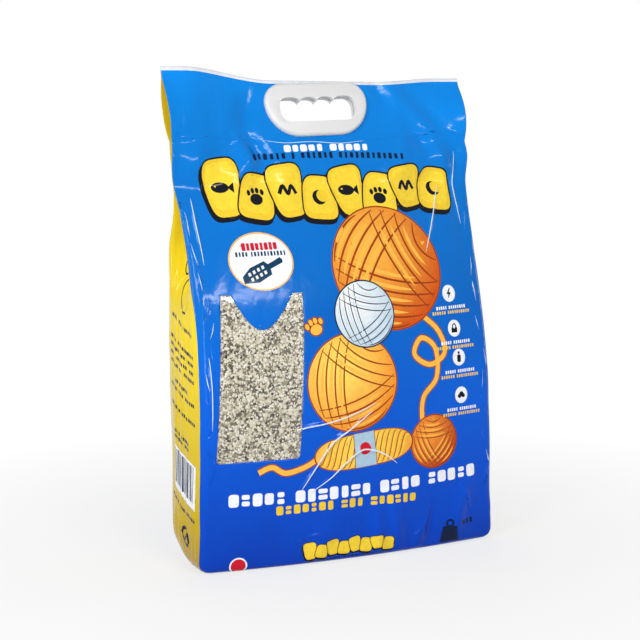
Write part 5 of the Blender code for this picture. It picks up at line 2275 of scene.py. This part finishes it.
@dataclass(frozen=True)
class Studio:
    """Pale floor, soft lamps and the camera."""

    target: tuple[float, float, float] = (-0.0106, 0.0, 0.2071)
    yaw: float = 0.41888
    pitch: float = 0.11588
    roll: float = -0.00812
    distance: float = 1.2896
    focal_px: float = 1441.1
    image_px: float = 640.0
    sensor: float = 36.0
    lit_height: float = 0.22
    floor_half: float = 6.0
    white_from: float = 0.14
    white_to: float = 0.58

    def camera(self) -> None:
        """Sets the camera at the photograph's angle."""
        back = Vector((-math.sin(self.yaw) * math.cos(self.pitch), -math.cos(self.yaw) * math.cos(self.pitch),
                       math.sin(self.pitch)))
        eye = Vector(self.target) + back * self.distance
        level_right = (-back).cross(Vector((0, 0, 1))).normalized()
        level_up = level_right.cross(-back)
        right = level_right * math.cos(self.roll) + level_up * math.sin(self.roll)
        up = level_up * math.cos(self.roll) - level_right * math.sin(self.roll)
        lens = bpy.data.cameras.new("camera")
        lens.sensor_width = self.sensor
        lens.lens = self.focal_px * self.sensor / self.image_px
        camera = add_object("camera", lens)
        camera.matrix_world = Matrix((
            (right.x, up.x, back.x, eye.x), (right.y, up.y, back.y, eye.y), (right.z, up.z, back.z, eye.z),
            (0, 0, 0, 1)))
        bpy.context.scene.camera = camera

    def lamp(self, name: str, place: tuple[float, float, float], size: tuple[float, float], watts: float,
             turn: float = 0.0) -> None:
        """Adds a soft lamp that faces the bag.

        Args:
            name: its name.
            place: where it stands.
            size: its width and height.
            watts: its power.
            turn: how far it is turned about its axis, in degrees.
        """
        data = bpy.data.lights.new(name, "AREA")
        data.shape = "RECTANGLE"
        data.size, data.size_y = size
        data.energy = watts
        lamp = add_object(name, data)
        lamp.location = place
        aim = Vector((0, 0, self.lit_height)) - Vector(place)
        roll = Euler((0, 0, math.radians(turn))).to_quaternion()
        lamp.rotation_euler = (aim.to_track_quat("-Z", "Y") @ roll).to_euler()

    def floor(self) -> None:
        """A pale floor that keeps the bag's shadow and runs out into the white background."""
        half = self.floor_half
        corners = [Vector((x, y, 0)) for x, y in box(-half, -half, half, half)]
        piece = new_piece("floor", corners, [(0, 1, 2, 3)])
        shader = Shader("pale_floor")
        shader.set(Base_Color=(0.77, 0.77, 0.77, 1.0), Roughness=0.8, Specular_IOR_Level=0.1)
        away = shader.add("VectorMath")
        away.operation = "LENGTH"
        shader.link(shader.place(), away.inputs[0])
        far = shader.spread(away.outputs["Value"], 0.7, 1.0, self.white_from, self.white_to)
        white = shader.add("Emission", Color=(1.0, 1.0, 1.0, 1.0), Strength=1.0)
        share = shader.maths("MULTIPLY", far, background_rays(shader.tree))
        shader.cover(share, shader.body.outputs[0], white.outputs[0])
        piece.data.materials.append(shader.material)

    def light(self) -> None:
        """White surroundings to the camera, and a soft light from the left on the bag."""
        world = bpy.data.worlds.new("studio")
        bpy.context.scene.world = world
        world.use_nodes = True
        nodes, links = world.node_tree.nodes, world.node_tree.links
        nodes.clear()
        output = nodes.new("ShaderNodeOutputWorld")
        both = nodes.new("ShaderNodeMixShader")
        soft, white = nodes.new("ShaderNodeBackground"), nodes.new("ShaderNodeBackground")
        soft.inputs[0].default_value = (0.95, 0.97, 1.0, 1.0)
        soft.inputs[1].default_value = 0.21
        white.inputs[0].default_value = (1.0, 1.0, 1.0, 1.0)
        links.new(background_rays(world.node_tree), both.inputs[0])
        links.new(soft.outputs[0], both.inputs[1])
        links.new(white.outputs[0], both.inputs[2])
        links.new(both.outputs[0], output.inputs[0])
        self.lamp("key", (-1.25, -0.85, 1.05), (0.45, 0.45), 12.0)
        self.lamp("bar", (0.04, -1.31, 0.92), (0.6, 0.12), 8.0, 14.0)
        self.lamp("left_strip", (-0.85, -1.34, 0.42), (0.1, 0.5), 5.0)
        self.lamp("gusset_strip", (-1.45, 0.5, 0.35), (0.1, 0.7), 4.0)
        self.lamp("right_strip", (1.45, 0.05, 0.45), (0.08, 0.7), 3.0)
        self.lamp("back", (0.4, 1.5, 1.1), (1.2, 0.8), 7.0)


# Assembly

@dataclass
class LitterBag:
    """The whole bag, dressed."""

    web: FilmWeb = FilmWeb()

    def print_sheet(self) -> PrintSheet:
        """All print, laid from the ground up."""
        sheet = PrintSheet(self.web)
        small = PlayBlocks(-0.051, 0.035, mm(11.5, 12.5), 0.0135, 0.0009, 0.0006, mm(-0.7, -0.9),
                           (0.015, 0.012, 0.014, 0.0118, 0.0132, 0.0122, 0.0114, 0.0118), motifs=False)
        for part in (GussetPrint(), WordMarks(), PlayBlocks(), small, YarnPicture(), ScoopBadge(), CareIcons(),
                     WeightSign()):
            part.print_on(sheet)
        return sheet

    def film_finishes(self) -> list[bpy.types.Material]:
        """Materials of the printed film, in the order of Ink."""
        blue = [(0.0, tone(0, 60, 176)), (0.12, tone(0, 74, 196)), (0.3, tone(0, 90, 208)),
                (0.55, tone(0, 104, 194)), (0.75, tone(0, 112, 198)), (0.86, tone(0, 124, 212)),
                (1.0, tone(0, 134, 226))]
        # the yellow's stops darken towards the foot and the top: painted shade where the gussets turn under and
        # tuck in; the middle stops are the ink itself
        yellow = [(0.0, tone(170, 138, 20)), (0.15, tone(214, 184, 20)), (0.5, tone(236, 208, 26)),
                  (0.85, tone(228, 198, 24)), (1.0, tone(198, 160, 20))]
        inked = {
            Ink.EDGE: (tone(220, 223, 229),), Ink.NAVY: (tone(12, 16, 30),), Ink.SUN: (tone(238, 199, 48),),
            Ink.WHITE: (tone(238, 240, 246),), Ink.RED: (tone(206, 24, 44),), Ink.TEAL: (tone(14, 58, 88),),
            Ink.BARK: (tone(150, 56, 16),), Ink.AMBER: (tone(250, 184, 74),), Ink.DUSK: (tone(14, 30, 62),),
            # the pale tone of SCUFF (SCUFF) is a painted highlight laid along crease crests
            Ink.LEMON: (tone(243, 209, 58),), Ink.SKY: (tone(206, 222, 232),), Ink.SCUFF: (tone(214, 228, 240),),
            Ink.BALL_HIGH: (tone(248, 176, 66), tone(206, 84, 20), (0.024, 0.274), 0.075),
            Ink.BALL_LOW: (tone(253, 214, 96), tone(236, 138, 36), (-0.016, 0.172), 0.058),
            Ink.BALL_PALE: (tone(240, 241, 240), tone(168, 196, 214), (0.002, 0.226), 0.046),
            Ink.BALL_RIGHT: (tone(244, 150, 56), tone(186, 66, 18), (0.068, 0.107), 0.034),
            Ink.SKEIN: (tone(250, 206, 92), tone(240, 160, 52), (0.0, 0.108), 0.06),
        }
        finishes: dict[Ink, GradedFilm | InkedFilm] = {
            ink: InkedFilm("ink_" + ink.name.lower(), *look) for ink, look in inked.items()
        }
        finishes[Ink.BLUE] = GradedFilm("film_blue", blue)
        finishes[Ink.YELLOW] = GradedFilm("film_yellow_painted_shade", yellow)
        return [finishes[ink].build() for ink in Ink if ink in finishes]

    def film(self) -> None:
        """Builds the film and its window."""
        film, pane = PrintedFilm(self.web).build(self.print_sheet())
        for material in self.film_finishes():
            film.data.materials.append(material)
        pane.data.materials.append(ClearFilm().build())
        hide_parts("film_bag")
        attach(film, "root")
        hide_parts("window_film")
        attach(pane, "root")
        LOG.info("film: %d faces, pane: %d faces", len(film.data.polygons), len(pane.data.polygons))

    def litter(self) -> None:
        """Dresses the litter and lays granules against the window."""
        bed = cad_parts["litter"]
        bed.data.materials.clear()
        bed.data.materials.append(LitterBed().build())
        crumbs = Granules(self.web).build()
        shades = (tone(250, 246, 230), tone(237, 228, 203), tone(204, 193, 162), tone(132, 121, 96),
                  tone(58, 50, 38))
        for number, shade in enumerate(shades):
            crumbs.data.materials.append(Granule(f"granule_{number}", shade).build())
        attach(crumbs, "root")

    def handle(self) -> None:
        """Builds both halves of the handle."""
        maker = CarryHandle(self.web)
        for node, side in (("handle_front", -1), ("handle_back", 1)):
            piece = maker.half("grip_" + node.split("_")[1], side)
            piece.data.materials.clear()
            piece.data.materials.append(MouldedPlastic(node + "_plastic").build())
            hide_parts(node)
            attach(piece, "root")
            LOG.info("%s: %d faces", piece.name, len(piece.data.polygons))


def main() -> None:
    """Builds the studio and the bag, and reports each piece."""
    logging.basicConfig(level=logging.INFO, format="%(message)s")
    studio = Studio()
    studio.floor()
    studio.light()
    studio.camera()
    bpy.context.scene.view_settings.view_transform = "Standard"
    bag = LitterBag()
    bag.film()
    bag.litter()
    bag.handle()


if __name__ == "__main__":
    main()
